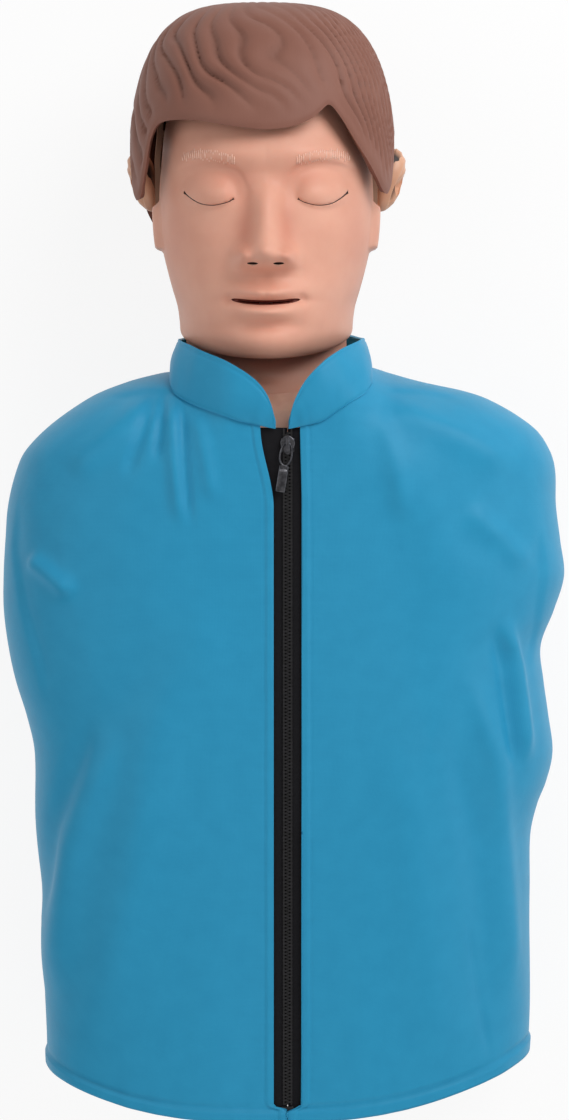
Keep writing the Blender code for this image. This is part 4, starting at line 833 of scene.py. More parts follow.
# %% The hairline and the locks
HEAD_Y, HEAD_Z, CROWN_Y = 0.248, 0.105, 0.3645
HAIR_X, HAIR_SQUARE = -0.0027, 0.56
HAIR_HALF_WIDTH, HAIR_FRONT, HAIR_BACK, HAIR_BASE = 0.0886, 0.1045, 0.0915, 0.0970
LEFT_HAIRLINE = [
    (0, 0.2703), (9.8, 0.2722), (19, 0.2779), (24, 0.2838), (28, 0.2882), (32, 0.2832), (42, 0.2652),
    (51, 0.2524), (57, 0.2440), (62, 0.2375), (67, 0.2350), (72, 0.2390), (77, 0.2520), (82, 0.2745),
    (90, 0.2755), (100, 0.2745), (108, 0.2550), (120, 0.2280), (140, 0.2070), (180, 0.2000),
]
RIGHT_HAIRLINE = [
    (0, 0.2703), (12.7, 0.2735), (28, 0.2779), (44, 0.2790), (50, 0.2765), (54, 0.2680), (57, 0.2550),
    (60, 0.2430), (63, 0.2335), (67, 0.2308), (71, 0.2335), (77, 0.2510), (82, 0.2745), (90, 0.2755),
    (100, 0.2745), (108, 0.2550), (120, 0.2280), (140, 0.2070), (180, 0.2000),
]
PARTING = 28.0
LOCK_DEPTH = 0.0044
HAIR_WALL = 0.0038


def ovoid(turn, polar, half, crown, base, front, back):
    """A point of a full ovoid about the middle of the head; turn 0 faces forward, polar 0 is the crown."""
    ring = power(math.sin(polar), 0.8)
    high = power(math.cos(polar), 0.8)
    deep = math.cos(turn)
    x = HAIR_X + half * power(math.sin(polar), HAIR_SQUARE) * power(math.sin(turn), 2 / 2.2)
    y = high * (crown if high > 0 else base)
    z = ring * power(deep, 2 / 2.2) * (front if deep > 0 else back)
    return Vector((x, HEAD_Y + y, HEAD_Z + z))


def hair_surface(turn, polar):
    """A point of the hair without its locks."""
    return ovoid(turn, polar, HAIR_HALF_WIDTH, CROWN_Y - HEAD_Y, HAIR_BASE, HAIR_FRONT, HAIR_BACK)


def polar_of(y, crown, base):
    """The polar angle at which the ovoid stands at y."""
    share = (y - HEAD_Y) / (crown if y > HEAD_Y else base)
    return math.acos(power(share, 1.25))


def lock_height(spot, degrees, off_edge):
    """0 in a valley to 1 on a ridge, and how strongly the locks are cut there."""
    swirl = 0.85 * math.sin(125 * spot.y + 3.2 * math.radians(degrees)) + 1.9 * noise.noise(spot * 30)
    fine = 7.0 * eased((degrees - PARTING) / 70) * eased((200 - degrees) / 60)
    phase = 5.09 * math.radians(degrees) + 46.0 * (spot.y - 0.27) + fine
    wave = abs(math.sin(math.pi * phase + swirl))
    ridge = wave**0.55
    cut = eased((off_edge - 0.004) / 0.022)
    near_top = 1 - 0.75 * eased((spot.y - 0.335) / 0.025)
    calm = 1 - 0.55 * math.exp(-(((degrees - 14) / 20) ** 2))
    strength = cut * near_top * calm * (0.85 + 0.5 * noise.noise(spot * 17 + Vector((3, 1, 7))))
    return ridge, max(strength, 0.0)


HAIR_COLUMNS, HAIR_ROWS = 252, 96
heights = {}


def hair_place(across, along):
    """The hair from the crown down to the hairline; across 0 and 1 meet at the forehead's middle."""
    turn = 2 * math.pi * across
    degrees = math.degrees(turn)
    line = through(LEFT_HAIRLINE, degrees) if degrees <= 180 else through(RIGHT_HAIRLINE, 360 - degrees)
    edge_polar = polar_of(line, CROWN_Y - HEAD_Y, HAIR_BASE)
    spot = hair_surface(turn, edge_polar * along)
    signed = degrees if degrees <= 180 else degrees - 360
    ridge, strength = lock_height(spot, signed, (spot - hair_surface(turn, edge_polar)).length)
    back_fade = eased((165 - abs(signed)) / 25)
    cut = LOCK_DEPTH * (1 - ridge) * strength * back_fade
    inward = (Vector((0, HEAD_Y, HEAD_Z)) - spot).normalized()
    edge_roll = 0.0012 * eased((along - 0.985) / 0.015)
    placed = spot + inward * (cut + edge_roll)
    heights[tuple(round(c, 7) for c in placed)] = 1 - (1 - ridge) * min(strength, 1) * back_fade
    return placed


work = grid_sheet(HAIR_COLUMNS, HAIR_ROWS, hair_place, closed=True)
hair = as_piece("hair_cap", work, hair_plastic)
wall(hair, HAIR_WALL, outwards=True)
settle(hair)
# Painted shade: each point keeps how high it stands between valley and ridge, which darkens the valleys
shade_layer = hair.data.attributes.new("lock_groove_shade", "FLOAT", "POINT")
for vertex, value in zip(hair.data.vertices, shade_layer.data):
    value.value = heights.get(tuple(round(c, 7) for c in vertex.co), 0.3)
hair.data.shade_smooth()
hair.data.set_sharp_from_angle(angle=math.radians(60))
onto_neck(hair)
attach(hair, "head")
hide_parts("hair")
print("hair", len(hair.data.polygons), "faces")

# %% [markdown]
# ## The ears
# Only the rims and the lobes of the ears show beside the hair. They are moulded with the back of the
# head, so they carry its orange-tan plastic. Each is a flattened ball pushed into the shape of an
# ear: narrower at the lobe, with a raised rim, an inner fold and a hollow.

# %% Both ears
EAR_SPOT = Vector((0.0812, 0.2475, 0.1035))
EAR_SIZE = (0.0094, 0.0205, 0.0134)
for side, end in ((-1, "right"), (1, "left")):
    work = bmesh.new()
    bmesh.ops.create_uvsphere(work, u_segments=64, v_segments=48, radius=1.0)
    lean = Matrix.Rotation(math.radians(-side * 19), 4, "Z")
    for vertex in work.verts:
        x, y, z = vertex.co
        narrow = 0.80 + 0.20 * y
        radial = math.hypot(y, z)
        outer = x * side > 0
        shaped = Vector((x * EAR_SIZE[0] * (0.86 + 0.14 * y), y * EAR_SIZE[1], z * EAR_SIZE[2] * narrow))
        if outer:
            rim = math.exp(-(((radial - 0.86) / 0.10) ** 2))
            fold = math.exp(-(((radial - 0.52) / 0.09) ** 2)) * eased((y + 0.5) / 0.5)
            hollow = math.exp(-(((y + 0.12) / 0.34) ** 2) - ((z - 0.25) / 0.42) ** 2)
            shaped.x += side * (0.0010 * rim + 0.0009 * fold - 0.0052 * hollow)
        vertex.co = Vector((side * EAR_SPOT.x, EAR_SPOT.y, EAR_SPOT.z)) + lean @ shaped
    ear = as_piece("ear_" + end, work, head_plastic)
    onto_neck(ear)
    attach(ear, "head")
print("ears", [round(1000 * s * 2) for s in EAR_SIZE], "mm")

# %% [markdown]
# ## The neck
# The neck is a soft tube that runs from the chest up into the head, so that the head can tilt. It
# widens into the shoulders, and a small hill in front is the notch of the throat. It is the same
# vinyl as the face; on the real manikin it stretches between the torso and the head when the head
# tips back.

# %% The neck's tube
# How far the neck has widened into the shoulders, at heights from its foot up
NECK_SECTIONS = [
    (0.088, 1.0), (0.112, 1.0), (0.122, 0.80), (0.132, 0.40), (0.142, 0.12), (0.155, 0.02), (0.21, 0.0),
]
NECK_FOOT_Y, NECK_END_Y, NECK_Z, NECK_WALL = 0.088, 0.222, 0.105, 0.003
WIDE_AT_TOP, WIDE_AT_BASE, DEEP_AT_TOP, DEEP_AT_BASE = 0.0530, 0.0540, 0.0412, 0.0550


def neck_place(across, along):
    """A point of the neck's tube, whose upper end is lower in front than behind."""
    angle = 2 * math.pi * across
    front = 0.5 + 0.5 * math.cos(angle)
    end = NECK_END_Y - 0.050 * front**1.2
    y = NECK_FOOT_Y + (end - NECK_FOOT_Y) * along
    base = through(NECK_SECTIONS, y)
    x = (WIDE_AT_TOP + (WIDE_AT_BASE - WIDE_AT_TOP) * base) * math.sin(angle)
    z = NECK_Z + (DEEP_AT_TOP + (DEEP_AT_BASE - DEEP_AT_TOP) * base) * math.cos(angle)
    if front > 0.5:
        z += 0.0022 * bump_at(x, y, 0.0, 0.119, 0.008, 0.007)
        z -= 0.0010 * bump_at(x, y, 0.0, 0.1105, 0.006, 0.0022)
    return Vector((x, y, z))


neck = as_piece("neck_tube", grid_sheet(96, 56, neck_place, closed=True), vinyl)
wall(neck, NECK_WALL)
settle(neck)
# Painted shade in the dip below the throat's small hill
shade_layer = neck.data.attributes.new("painted_shade", "FLOAT", "POINT")
for vertex, value in zip(neck.data.vertices, shade_layer.data):
    value.value = 0.25 * bump_at(vertex.co.x, vertex.co.y, 0.0, 0.112, 0.010, 0.004)
neck.data.shade_smooth()
onto_neck(neck)
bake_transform(neck)
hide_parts("neck_skin")

# %% [markdown]
# ## The satin of the jacket
# The jacket is woven polyester satin: smooth, with a low sheen that runs across the threads, and
# far finer than a pixel of the photograph. The thread pattern is drawn at 0.8 mm, coarser than the
# real 0.2 mm, so that it just shows close up. Every panel has a UV map in metres along the cloth, so
# the weave follows each fold.

# %% The satin material
satin, tree, shader = finish(
    "woven polyester satin",
    "#2893BB",
    0.52,
    **{"Sheen Weight": 0.05, "Sheen Roughness": 0.4, "Specular IOR Level": 0.22, "Anisotropic": 0.35},
)
shader.inputs["Sheen Tint"].default_value = colour("#8FD4EE")
weave_uv = add(tree, "ShaderNodeUVMap", uv_map="cloth").outputs["UV"]
THREAD = 0.8 * MM
WAVE_BAND = 0.314
warp, weft = [
    add(
        tree, "ShaderNodeTexWave", {"Vector": weave_uv}, wave_type="BANDS", bands_direction=direction,
        inputs={"Scale": WAVE_BAND / THREAD, "Distortion": 0.4, "Detail": 1.0, "Detail Scale": 2.0},
    )
    for direction in "XY"
]
threads = add(
    tree, "ShaderNodeMath", {0: warp.outputs["Fac"], 1: weft.outputs["Fac"]}, operation="MULTIPLY"
)
slub = grain(tree, 14.0, detail=3.0, vector=weave_uv)
dyed = blend_colours(tree, slub.outputs["Fac"], "#2790BA", "#2A94BE", 0.3, 0.7)
woven = add(
    tree,
    "ShaderNodeMix",
    {0: threads.outputs[0], COLOUR_A: dyed},
    data_type="RGBA",
    blend_type="MULTIPLY",
    inputs={COLOUR_B: colour("#E6F2F6")},
)
tree.links.new(woven.outputs[MIXED_COLOUR], shader.inputs["Base Color"])
raised(tree, shader, threads.outputs[0], 0.05, 0.5)
crumple = grain(tree, 9.0, detail=3.0, distortion=0.6, vector=weave_uv)
raised(tree, shader, crumple.outputs["Fac"], 0.35, 0.35)

# %% [markdown]
# ## The folds of the fronts
# The jacket hangs from the shoulders and is pulled smooth over the chest, so its folds gather where
# the cloth has room: at the closed arm ends, below the collar and down both flanks. Each fold is
# a path with a width and a height; a lap is a fold that falls off sharply on one side. They push the
# cloth along its own normal, which keeps the folds even on the steep flanks.

# %% Fold shapes
FOLD_STRENGTH, DEEPEST_FOLD = 1.35, 0.0036
# Each fold: the path of its ridge in x and y, its half width and its height
RIDGES = [
    ([(-0.167, -0.001), (-0.152, -0.012), (-0.136, -0.026)], 0.0060, 0.0042),
    ([(-0.108, -0.110), (-0.1375, -0.190), (-0.153, -0.290)], 0.0110, 0.0044),
    ([(-0.124, -0.105), (-0.150, -0.175), (-0.159, -0.240)], 0.0065, -0.0026),
    ([(-0.085, -0.075), (-0.098, -0.200), (-0.126, -0.330)], 0.0160, 0.0020),
    ([(-0.072, 0.100), (-0.071, 0.062), (-0.067, 0.020)], 0.0042, 0.0022),
    ([(-0.0785, 0.106), (-0.0795, 0.085), (-0.082, 0.060)], 0.0022, -0.0030),
    ([(-0.066, 0.098), (-0.0635, 0.060), (-0.060, 0.018)], 0.0022, -0.0022),
    ([(-0.084, 0.104), (-0.092, 0.078), (-0.101, 0.050)], 0.0036, -0.0022),
    ([(-0.057, 0.092), (-0.050, 0.060), (-0.046, 0.034)], 0.0050, 0.0016),
    ([(-0.088, 0.100), (-0.108, 0.078), (-0.138, 0.052)], 0.0090, 0.0022),
    ([(0.063, 0.099), (0.100, 0.082), (0.150, 0.055)], 0.0100, 0.0024),
    ([(0.060, 0.093), (0.070, 0.060), (0.078, 0.020)], 0.0070, 0.0016),
    ([(0.143, -0.040), (0.149, -0.070), (0.157, -0.135)], 0.0052, 0.0046),
    ([(0.135, -0.046), (0.141, -0.075), (0.150, -0.140)], 0.0045, -0.0024),
    ([(0.120, -0.075), (0.137, -0.135), (0.148, -0.290)], 0.0085, 0.0040),
    ([(0.108, -0.110), (0.122, -0.190), (0.133, -0.320)], 0.0080, -0.0022),
    ([(0.075, -0.120), (0.085, -0.220), (0.100, -0.335)], 0.0170, 0.0020),
    ([(0.115, 0.030), (0.140, 0.010), (0.160, -0.010)], 0.0080, 0.0022),
    ([(0.118, -0.235), (0.124, -0.270), (0.133, -0.325)], 0.0025, -0.0014),
    ([(0.060, 0.070), (0.090, 0.030), (0.110, -0.030)], 0.0170, 0.0016),
    ([(-0.050, -0.030), (-0.075, -0.110), (-0.088, -0.200)], 0.0190, 0.0018),
]
# Each lap: its path, the depth of its drop and the side that drops
LAPS = [
    (
        [(-0.172, 0.046), (-0.1765, 0.004), (-0.1700, -0.034), (-0.1590, -0.0696), (-0.1530, -0.104)],
        0.0034, -1,
    ),
    ([(0.166, 0.020), (0.1690, -0.012), (0.1655, -0.048), (0.1580, -0.080)], 0.0034, 1),
    ([(-0.062, 0.1060), (-0.090, 0.1065), (-0.118, 0.1020)], 0.0022, -1),
    ([(0.060, 0.1060), (0.090, 0.1065), (0.118, 0.1020)], 0.0022, 1),
]


def off_path(x, y, path):
    """Distance from a path, the side it is on, and how near the path's ends it is."""
    best, run = (1e9, 1, 0.0), 0.0
    lengths = [math.dist(a, b) for a, b in zip(path, path[1:])]
    total = sum(lengths)
    for (x0, y0), (x1, y1), length in zip(path, path[1:], lengths):
        t = ((x - x0) * (x1 - x0) + (y - y0) * (y1 - y0)) / length**2
        held = min(max(t, 0.0), 1.0)
        distance = math.hypot(x - x0 - held * (x1 - x0), y - y0 - held * (y1 - y0))
        if distance < best[0]:
            side = 1 if (x - x0) * (y1 - y0) - (y - y0) * (x1 - x0) > 0 else -1
            best = (distance, side, (run + held * length) / total)
        run += length
    return best


def fold_height(x, y):
    """How far the folds push the cloth out at a point of the front."""
    out = 0.0
    for path, half, height in RIDGES:
        distance, _, share_along = off_path(x, y, path)
        if distance < 3 * half:
            ends = eased(share_along / 0.25 + 0.15) * eased((1 - share_along) / 0.25 + 0.15)
            out += FOLD_STRENGTH * height * ends * math.exp(-((distance / half) ** 2))
    for path, depth, outer in LAPS:
        distance, side, share_along = off_path(x, y, path)
        if distance < 0.03:
            ends = eased(share_along / 0.3) * eased((1 - share_along) / 0.3)
            off = distance * side * outer
            drop = 0.5 + 0.5 * math.tanh(off / 0.0016)
            out -= depth * ends * drop * math.exp(-max(off, 0.0) / 0.012)
    broad, fine = noise.noise(Vector((x * 14, y * 9, 4.0))), noise.noise(Vector((x * 46, y * 22, 9.0)))
    out += 0.0014 * broad + 0.0004 * fine
    return out if out > 0 else -DEEPEST_FOLD * math.tanh(-out / DEEPEST_FOLD)


# %% Both fronts
HEM_BAND, COLLAR_FLARE = 0.0085, 0.0085
FRONT_COLUMNS, FRONT_ROWS = 124, 226
NECKLINE_X, NECKLINE_Y, NECKLINE_HALF_WIDTH, NECKLINE_REACH = -0.0080, 0.135, 0.0602, 0.0500


def zip_edge(side, y):
    """How far a front's edge lies from the zip: closed below it and folded back at the collar."""
    closed = eased((y - ZIP_END_Y + 0.0030) / 0.0030)
    flare = (COLLAR_FLARE if side < 0 else -0.0010) * eased((y - 0.030) / 0.052)
    return PANEL_EDGE * closed + 0.0001 + flare


def front_point(side, across, along):
    """A point of a front without its folds; across 0 is its edge at the zip."""
    edge = (ZIP_X * side + PANEL_EDGE) / jacket_half_width(0, side)
    first = math.degrees(math.asin(power(edge, 1 / 0.66))) / 90
    spot = jacket_surface(side * (first + (1 - first) * across), along)
    edge_now = zip_edge(side, spot.y)
    if across < 1e-6:
        spot.x = ZIP_X + side * PANEL_EDGE
    away = max(side * (spot.x - ZIP_X) - PANEL_EDGE, 0.0)
    spot.x += side * (edge_now - PANEL_EDGE) * math.exp(-away / 0.018)
    return spot


across_at, along_at = {}, {}
for side in (-1, 1):
    across_at[side] = even_steps(
        lambda t: front_point(side, t, 0.4),
        lambda spot: 2.2 * math.exp(-((abs(spot.x - ZIP_X) - PANEL_EDGE) / 0.012)),
    )
    along_at[side] = even_steps(
        lambda t: front_point(side, 0.4, t), lambda spot: 1.6 * math.exp(-(spot.y - HEM_Y) / 0.014)
    )


def front_place(side):
    """The place of a front's grid, with folds, the pucker beside the zip and the hem."""

    def place(u, v):
        across, along = across_at[side][0](u), along_at[side][0](v)
        spot = front_point(side, across, along)
        step = 0.004
        near_zip, far = max(across - step, 0.0001), min(across + step, 1)
        below, above = max(along - step, 0), min(along + step, 1)
        right = front_point(side, far, along) - front_point(side, near_zip, along)
        up = front_point(side, across, above) - front_point(side, across, below)
        normal = right.cross(up) * side
        normal = normal.normalized() if normal.length > 1e-9 else Vector((0, 0, 1))
        off_zip = abs(spot.x - ZIP_X) - zip_edge(side, spot.y)
        near = eased((off_zip - 0.010) / 0.030)
        seam = eased((spot.z - SIDE_SEAM_Z) / 0.030)
        out = fold_height(spot.x, spot.y) * near * seam
        pucker = math.sin(spot.y * 680 + 2.5 * noise.noise(Vector((0, spot.y * 60, side * 5)))) ** 2
        out += 0.0007 * pucker * math.exp(-max(off_zip, 0) / 0.010) * eased(off_zip / 0.005)
        stitches = math.exp(-((off_zip - 0.0055) / 0.0009) ** 2)
        out += 0.0006 * (1 - eased((off_zip - 0.0045) / 0.0016)) - 0.0004 * stitches
        off_hem = spot.y - HEM_Y - hem_rise(side, min(abs(spot.x) / 0.160, 1))
        gather = noise.noise(Vector((spot.x * 85, 2.0, side * 3)))
        out += 0.0008 * gather * math.exp(-max(off_hem - HEM_BAND, 0) / 0.012) * seam
        out += 0.0014 * (1 - eased((off_hem - HEM_BAND + 0.001) / 0.0016))
        out -= 0.0013 * math.exp(-((off_hem - HEM_BAND - 0.0004) / 0.0011) ** 2)
        return spot + normal * out

    return place


def neck_cutter():
    """The hole of the neck in the cloth."""
    work = bmesh.new()
    bmesh.ops.create_cone(work, cap_ends=True, segments=96, radius1=1.0, radius2=1.0, depth=0.25)
    place = Matrix.Translation((NECKLINE_X, NECKLINE_Y, 0.155)) @ Matrix.Diagonal(
        (NECKLINE_HALF_WIDTH, NECKLINE_REACH, 1, 1)
    )
    bmesh.ops.transform(work, matrix=place, verts=work.verts)
    return solid("neck_cutter", work, satin)


def cloth_uv(piece, width_at, length_at):
    """A UV map in metres along the cloth, from the grid's own across and along."""
    flow = piece.data.uv_layers["flow"]
    scaled = piece.data.uv_layers.new(name="cloth")
    for old, new in zip(flow.data, scaled.data):
        new.uv = (width_at(old.uv.x), length_at(old.uv.y))
    piece.data.uv_layers.remove(piece.data.uv_layers["flow"])
    piece.data.uv_layers["cloth"].active = True


def one_side_area(piece):
    """Area of a thin shell's one side."""
    return sum(p.area for p in piece.data.polygons) / 2


def ride_with_chest(piece):
    """Bakes the piece's place into its mesh."""
    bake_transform(piece)


fronts, on_front = {}, {}
for side, end in ((-1, "right"), (1, "left")):
    work = grid_sheet(FRONT_COLUMNS, FRONT_ROWS, front_place(side))
    panel = cloth_panel("jacket_front_panel_" + end, work, satin, CLOTH, side < 0)
    cloth_uv(panel, across_at[side][1], along_at[side][1])
    carve(panel, neck_cutter(), "MANIFOLD")
    panel.data.shade_smooth()
    fronts[side], on_front[side] = panel, skin_finder(panel)
    print(panel.name, "area", round(one_side_area(panel), 4), "faces", len(panel.data.polygons))

# %% [markdown]
# ## The back of the jacket
# The back panel is one piece from flank to flank. The manikin lies on it, so it is flat underneath,
# and it bulges a little past the fronts where the arm ends are sewn shut. It is made in the same way
# as the fronts, with soft waves where it turns up to the side seams.

# %% The back panel
def back_place(across, along):
    """A point of the back, with waves where it is lifted off the floor."""
    share = 2 * across - 1
    spot = jacket_surface(share, along, front=False)
    lift = eased((spot.z - 0.004) / 0.02)
    wave = noise.noise(Vector((spot.x * 20, spot.y * 34, 1.0))) * 0.0016 * lift
    arm = 0.0022 * bump_at(abs(spot.x), spot.y, 0.180, -0.020, 0.020, 0.055) * lift
    spot.x += math.copysign(arm + wave * 0.6, share)
    spot.z += abs(wave) * 0.6
    return spot


back = cloth_panel("jacket_back_panel", grid_sheet(170, 130, back_place), satin, CLOTH)
cloth_uv(back, lambda u: 0.44 * u, lambda v: 0.52 * v)
carve(back, neck_cutter())
back.data.shade_smooth()
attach(back, "torso")
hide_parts("jacket_back")
print("back area", round(one_side_area(back), 4))

# %% [markdown]
# ## The stand-up collar
# The collar is two layers of satin with a stiffener between them, so it stands round the neck and
# keeps a smooth edge. Its front corners are rounded and part over the end of the zip. It is lofted
# between the seam line and the top edge, and its rim is rounded by a bevel.

# %% The collar's loft
# Rows round the collar: the turn from its front in degrees, then x, y and z of its foot and of its top
COLLAR = [
    (0, 0.0040, 0.0810, 0.2038, 0.0040, 0.0850, 0.2050),
    (8, 0.0120, 0.0818, 0.2036, 0.0075, 0.0970, 0.2070),
    (22, 0.0250, 0.0845, 0.2020, 0.0150, 0.1100, 0.2070),
    (38, 0.0375, 0.0900, 0.1965, 0.0290, 0.1220, 0.2020),
    (55, 0.0500, 0.0960, 0.1900, 0.0425, 0.1300, 0.1900),
    (75, 0.0605, 0.1030, 0.1740, 0.0540, 0.1365, 0.1660),
    (95, 0.0640, 0.1110, 0.1450, 0.0580, 0.1400, 0.1360),
    (120, 0.0625, 0.1200, 0.1050, 0.0580, 0.1430, 0.1000),
    (145, 0.0500, 0.1260, 0.0680, 0.0450, 0.1490, 0.0640),
    (165, 0.0260, 0.1285, 0.0470, 0.0240, 0.1520, 0.0440),
    (180, 0.0000, 0.1290, 0.0420, 0.0000, 0.1530, 0.0390),
]
# The collar's foot stands lower on the right, where the shoulder falls away sooner
COLLAR_FOOT = {
    -1: [(0, 0.2016), (38, 0.2001), (55, 0.1879), (75, 0.1768), (95, 0.1600), (120, 0.1150), (145, 0.0680),
         (165, 0.0470), (180, 0.0420)],
    1: [(0, 0.2016), (38, 0.2019), (55, 0.2012), (75, 0.1931), (95, 0.1760), (120, 0.1280), (145, 0.0700),
        (165, 0.0470), (180, 0.0420)],
}
COLLAR_THICKNESS, COLLAR_X = 0.0019, -0.0090


def collar_place(across, along):
    """A point of the collar: across goes round it, along goes from its foot to its top."""
    turn = 180 - abs(across - 0.5) * 360
    side = -1 if across < 0.5 else 1
    low_x, low_y, low_z, top_x, top_y, top_z = (
        through([(r[0], r[i]) for r in COLLAR], turn) for i in range(1, 7)
    )
    shift = COLLAR_X + (ZIP_X - 0.0035 - COLLAR_X) * eased((62 - turn) / 50)
    foot = through(COLLAR_FOOT[side], turn)
    low_z, top_z = foot - 0.0004, top_z + (foot - low_z) * 0.6
    cloth = on_front[side](shift + side * (low_x + 0.0004), low_y)
    if cloth:
        low_z += (cloth.z - foot) * eased((84 - turn) / 12)
    calm = eased(turn / 16)
    bow = 0.0018 * math.sin(math.pi * along) * calm
    x = low_x + (top_x - low_x) * along + bow
    y = low_y + (top_y - low_y) * along
    z = low_z + (top_z - low_z) * along + bow * eased((60 - turn) / 40)
    seam = 0.0005 * math.exp(-(((along - 0.035) / 0.02) ** 2))
    seam += 0.0004 * math.exp(-(((along - 0.92) / 0.018) ** 2))
    seam, soft = seam * calm, 0.0006 * calm * noise.noise(Vector((x * 60 + side * 9, y * 60, z * 60)))
    z += (soft - seam) * eased((80 - turn) / 30)
    x += (soft - seam) * eased((turn - 40) / 30)
    return Vector((shift + side * x, y, z))


collar = as_piece("collar_band", grid_sheet(220, 26, collar_place), satin)
wall(collar, COLLAR_THICKNESS)
rim = collar.modifiers.new("rim", "BEVEL")
rim.width = 0.0007
rim.segments = 3
rim.limit_method = "ANGLE"
rim.angle_limit = math.radians(60)
settle(collar)
cloth_uv(collar, lambda u: 0.40 * u, lambda v: 0.032 * v)
collar.data.shade_smooth()
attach(collar, "torso")
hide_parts("jacket_collar")
print("collar area", round(one_side_area(collar), 4))

# %% [markdown]
# ## The zip
# A moulded-tooth zip closes the front. Two woven black tapes each carry a row of teeth that mesh
# along the middle, and the puckered cloth of the fronts is sewn down over the tapes' outer edges. The
# tapes are plain woven bands, and the teeth are repeated from one small tooth with few faces.

# %% Zip materials
tape_weave, tree, shader = finish("woven polyester tape", "#131214", 0.85, **{"Specular IOR Level": 0.2})
here = add(tree, "ShaderNodeTexCoord").outputs["Object"]
ribs = add(
    tree, "ShaderNodeTexWave", {"Vector": here}, wave_type="BANDS", bands_direction="Y",
    inputs={"Scale": WAVE_BAND / (0.7 * MM), "Distortion": 0.6, "Detail": 1.0},
)
ribbed = blend_colours(tree, ribs.outputs["Fac"], "#0E0D10", "#19181C", 0.2, 0.8)
tree.links.new(ribbed, shader.inputs["Base Color"])
raised(tree, shader, ribs.outputs["Fac"], 0.12, 0.7)

acetal = toned_finish("black moulded acetal", "#1D1C1E", 0.34, ("#101011", "#1E1D20"), 2.5, (0.8, 0.05, 0.4))
gunmetal = toned_finish(
    "black-plated zinc", "#59595D", 0.34, ("#4A4A4E", "#6A6A6F"), 3.0, (0.6, 0.03, 0.4), Metallic=1.0
)
# Painted highlight: a lighter zinc for the bar across the tab
tab_highlight_zinc = toned_finish("zinc, painted highlight", "#9A9AA0", 0.28, ("#85858B", "#ACACB2"), 1.5, Metallic=1.0)

# %% Tapes and teeth
ZIP_TILT = math.atan(ZIP_SLOPE)
ZIP_LENGTH = (ZIP_TOP_Y - ZIP_END_Y) / math.cos(ZIP_TILT)
TAPE_GAP, TAPE_REACH, TAPE = 0.0002, 0.0125, 0.0008
PITCH = 0.0022
CORD_STEPS, CORD_REACH = 120, 0.998 * ZIP_LENGTH


def on_zip(y):
    """Frame of the zip at y: its Y runs up the chain and its Z stands on it."""
    return Matrix.Translation((ZIP_X, y, zip_z(y))) @ Matrix.Rotation(ZIP_TILT, 4, "X")


def box(work, size, centre, place, rounding=0.0, segments=2):
    """Adds a box with rounded edges to a bmesh, in the frame of place."""
    made = bmesh.ops.create_cube(work, size=1.0)["verts"]
    bmesh.ops.transform(work, matrix=Matrix.Translation(centre) @ Matrix.Diagonal((*size, 1)), verts=made)
    if rounding:
        edges = list({e for v in made for e in v.link_edges})
        cut = bmesh.ops.bevel(
            work, geom=edges, offset=rounding, segments=segments, affect="EDGES", profile=0.5, material=-1
        )
        made = list({v for v in made if v.is_valid} | {v for f in cut["faces"] for v in f.verts})
    bmesh.ops.transform(work, matrix=place, verts=made)


middle = on_zip((ZIP_TOP_Y + ZIP_END_Y) / 2)
for side, end in ((-1, "right"), (1, "left")):
    width = TAPE_REACH - TAPE_GAP

    def tape_place(across, along, side=side, width=width):
        x = side * (TAPE_GAP + width * across)
        flare = (COLLAR_FLARE if side < 0 else 0.0) * eased((along - 0.885) / 0.115) * across
        ripple = 0.00012 * math.sin(along * 900)
        low = (along - 0.5) * ZIP_LENGTH - 0.0035 * (1 - along)
        return middle @ Vector((x + side * flare, low, ripple * across + TAPE / 2))

    work = grid_sheet(6, 420, tape_place)
    tape = cloth_panel("tape_" + end, work, tape_weave, TAPE, side < 0)
    cloth_uv(tape, lambda u: width * u, lambda v: ZIP_LENGTH * v)
    ride_with_chest(tape)
    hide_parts("zip_tape_" + end)

    work = bmesh.new()
    count = int(ZIP_LENGTH / PITCH) - 1
    for n in range(count):
        y = (n - count / 2 + 0.25 * side) * PITCH
        place = middle @ Matrix.Translation((side * 0.0010, y, 0))
        box(work, (0.0030, 0.00120, 0.0026), (side * 0.0006, 0, 0.0002), place)
        box(work, (0.0012, 0.00155, 0.0020), (side * -0.0011, 0, 0.0002), place)
    for n in range(CORD_STEPS):
        y = ((n + 0.5) / CORD_STEPS - 0.5) * CORD_REACH
        box(work, (0.0011, CORD_REACH / CORD_STEPS, 0.0022), (side * 0.00245, y, 0.0002), middle)
    chain = as_piece("teeth_" + end, work, acetal)
    chain.data.shade_flat()
    ride_with_chest(chain)
    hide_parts("zip_teeth_" + end)
print("teeth on each side", count)

# %% The zip's bottom stop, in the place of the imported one
low, high = packed_box("zip_stop")
work = bmesh.new()
box(work, tuple(high - low), (low + high) / 2, Matrix.Identity(4), 0.0004, 3)
stop = as_piece("bottom_stop", work, acetal)
ride_with_chest(stop)
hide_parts("zip_stop")

# %% [markdown]
# ## Slider, ring and tab
# The slider is a cast zinc body that the chain runs through. A pear-shaped wire ring hangs from its
# bridge, and a flat tab with a bright bar hangs from the ring, a little to one side as it does in
# the photograph. The body is a bevelled outline, and the ring is a bent wire.

# %% The slider
SLIDER_Y, SLIDER_LENGTH = 0.0700, 0.0120
TOOTH_DEPTH = 0.0022
PLATE_LOW = TOOTH_DEPTH / 2 + 0.0004
SLIDER_PLATE = 0.0015
PULL_AXIS_Z = PLATE_LOW + 0.0013 + 0.0016

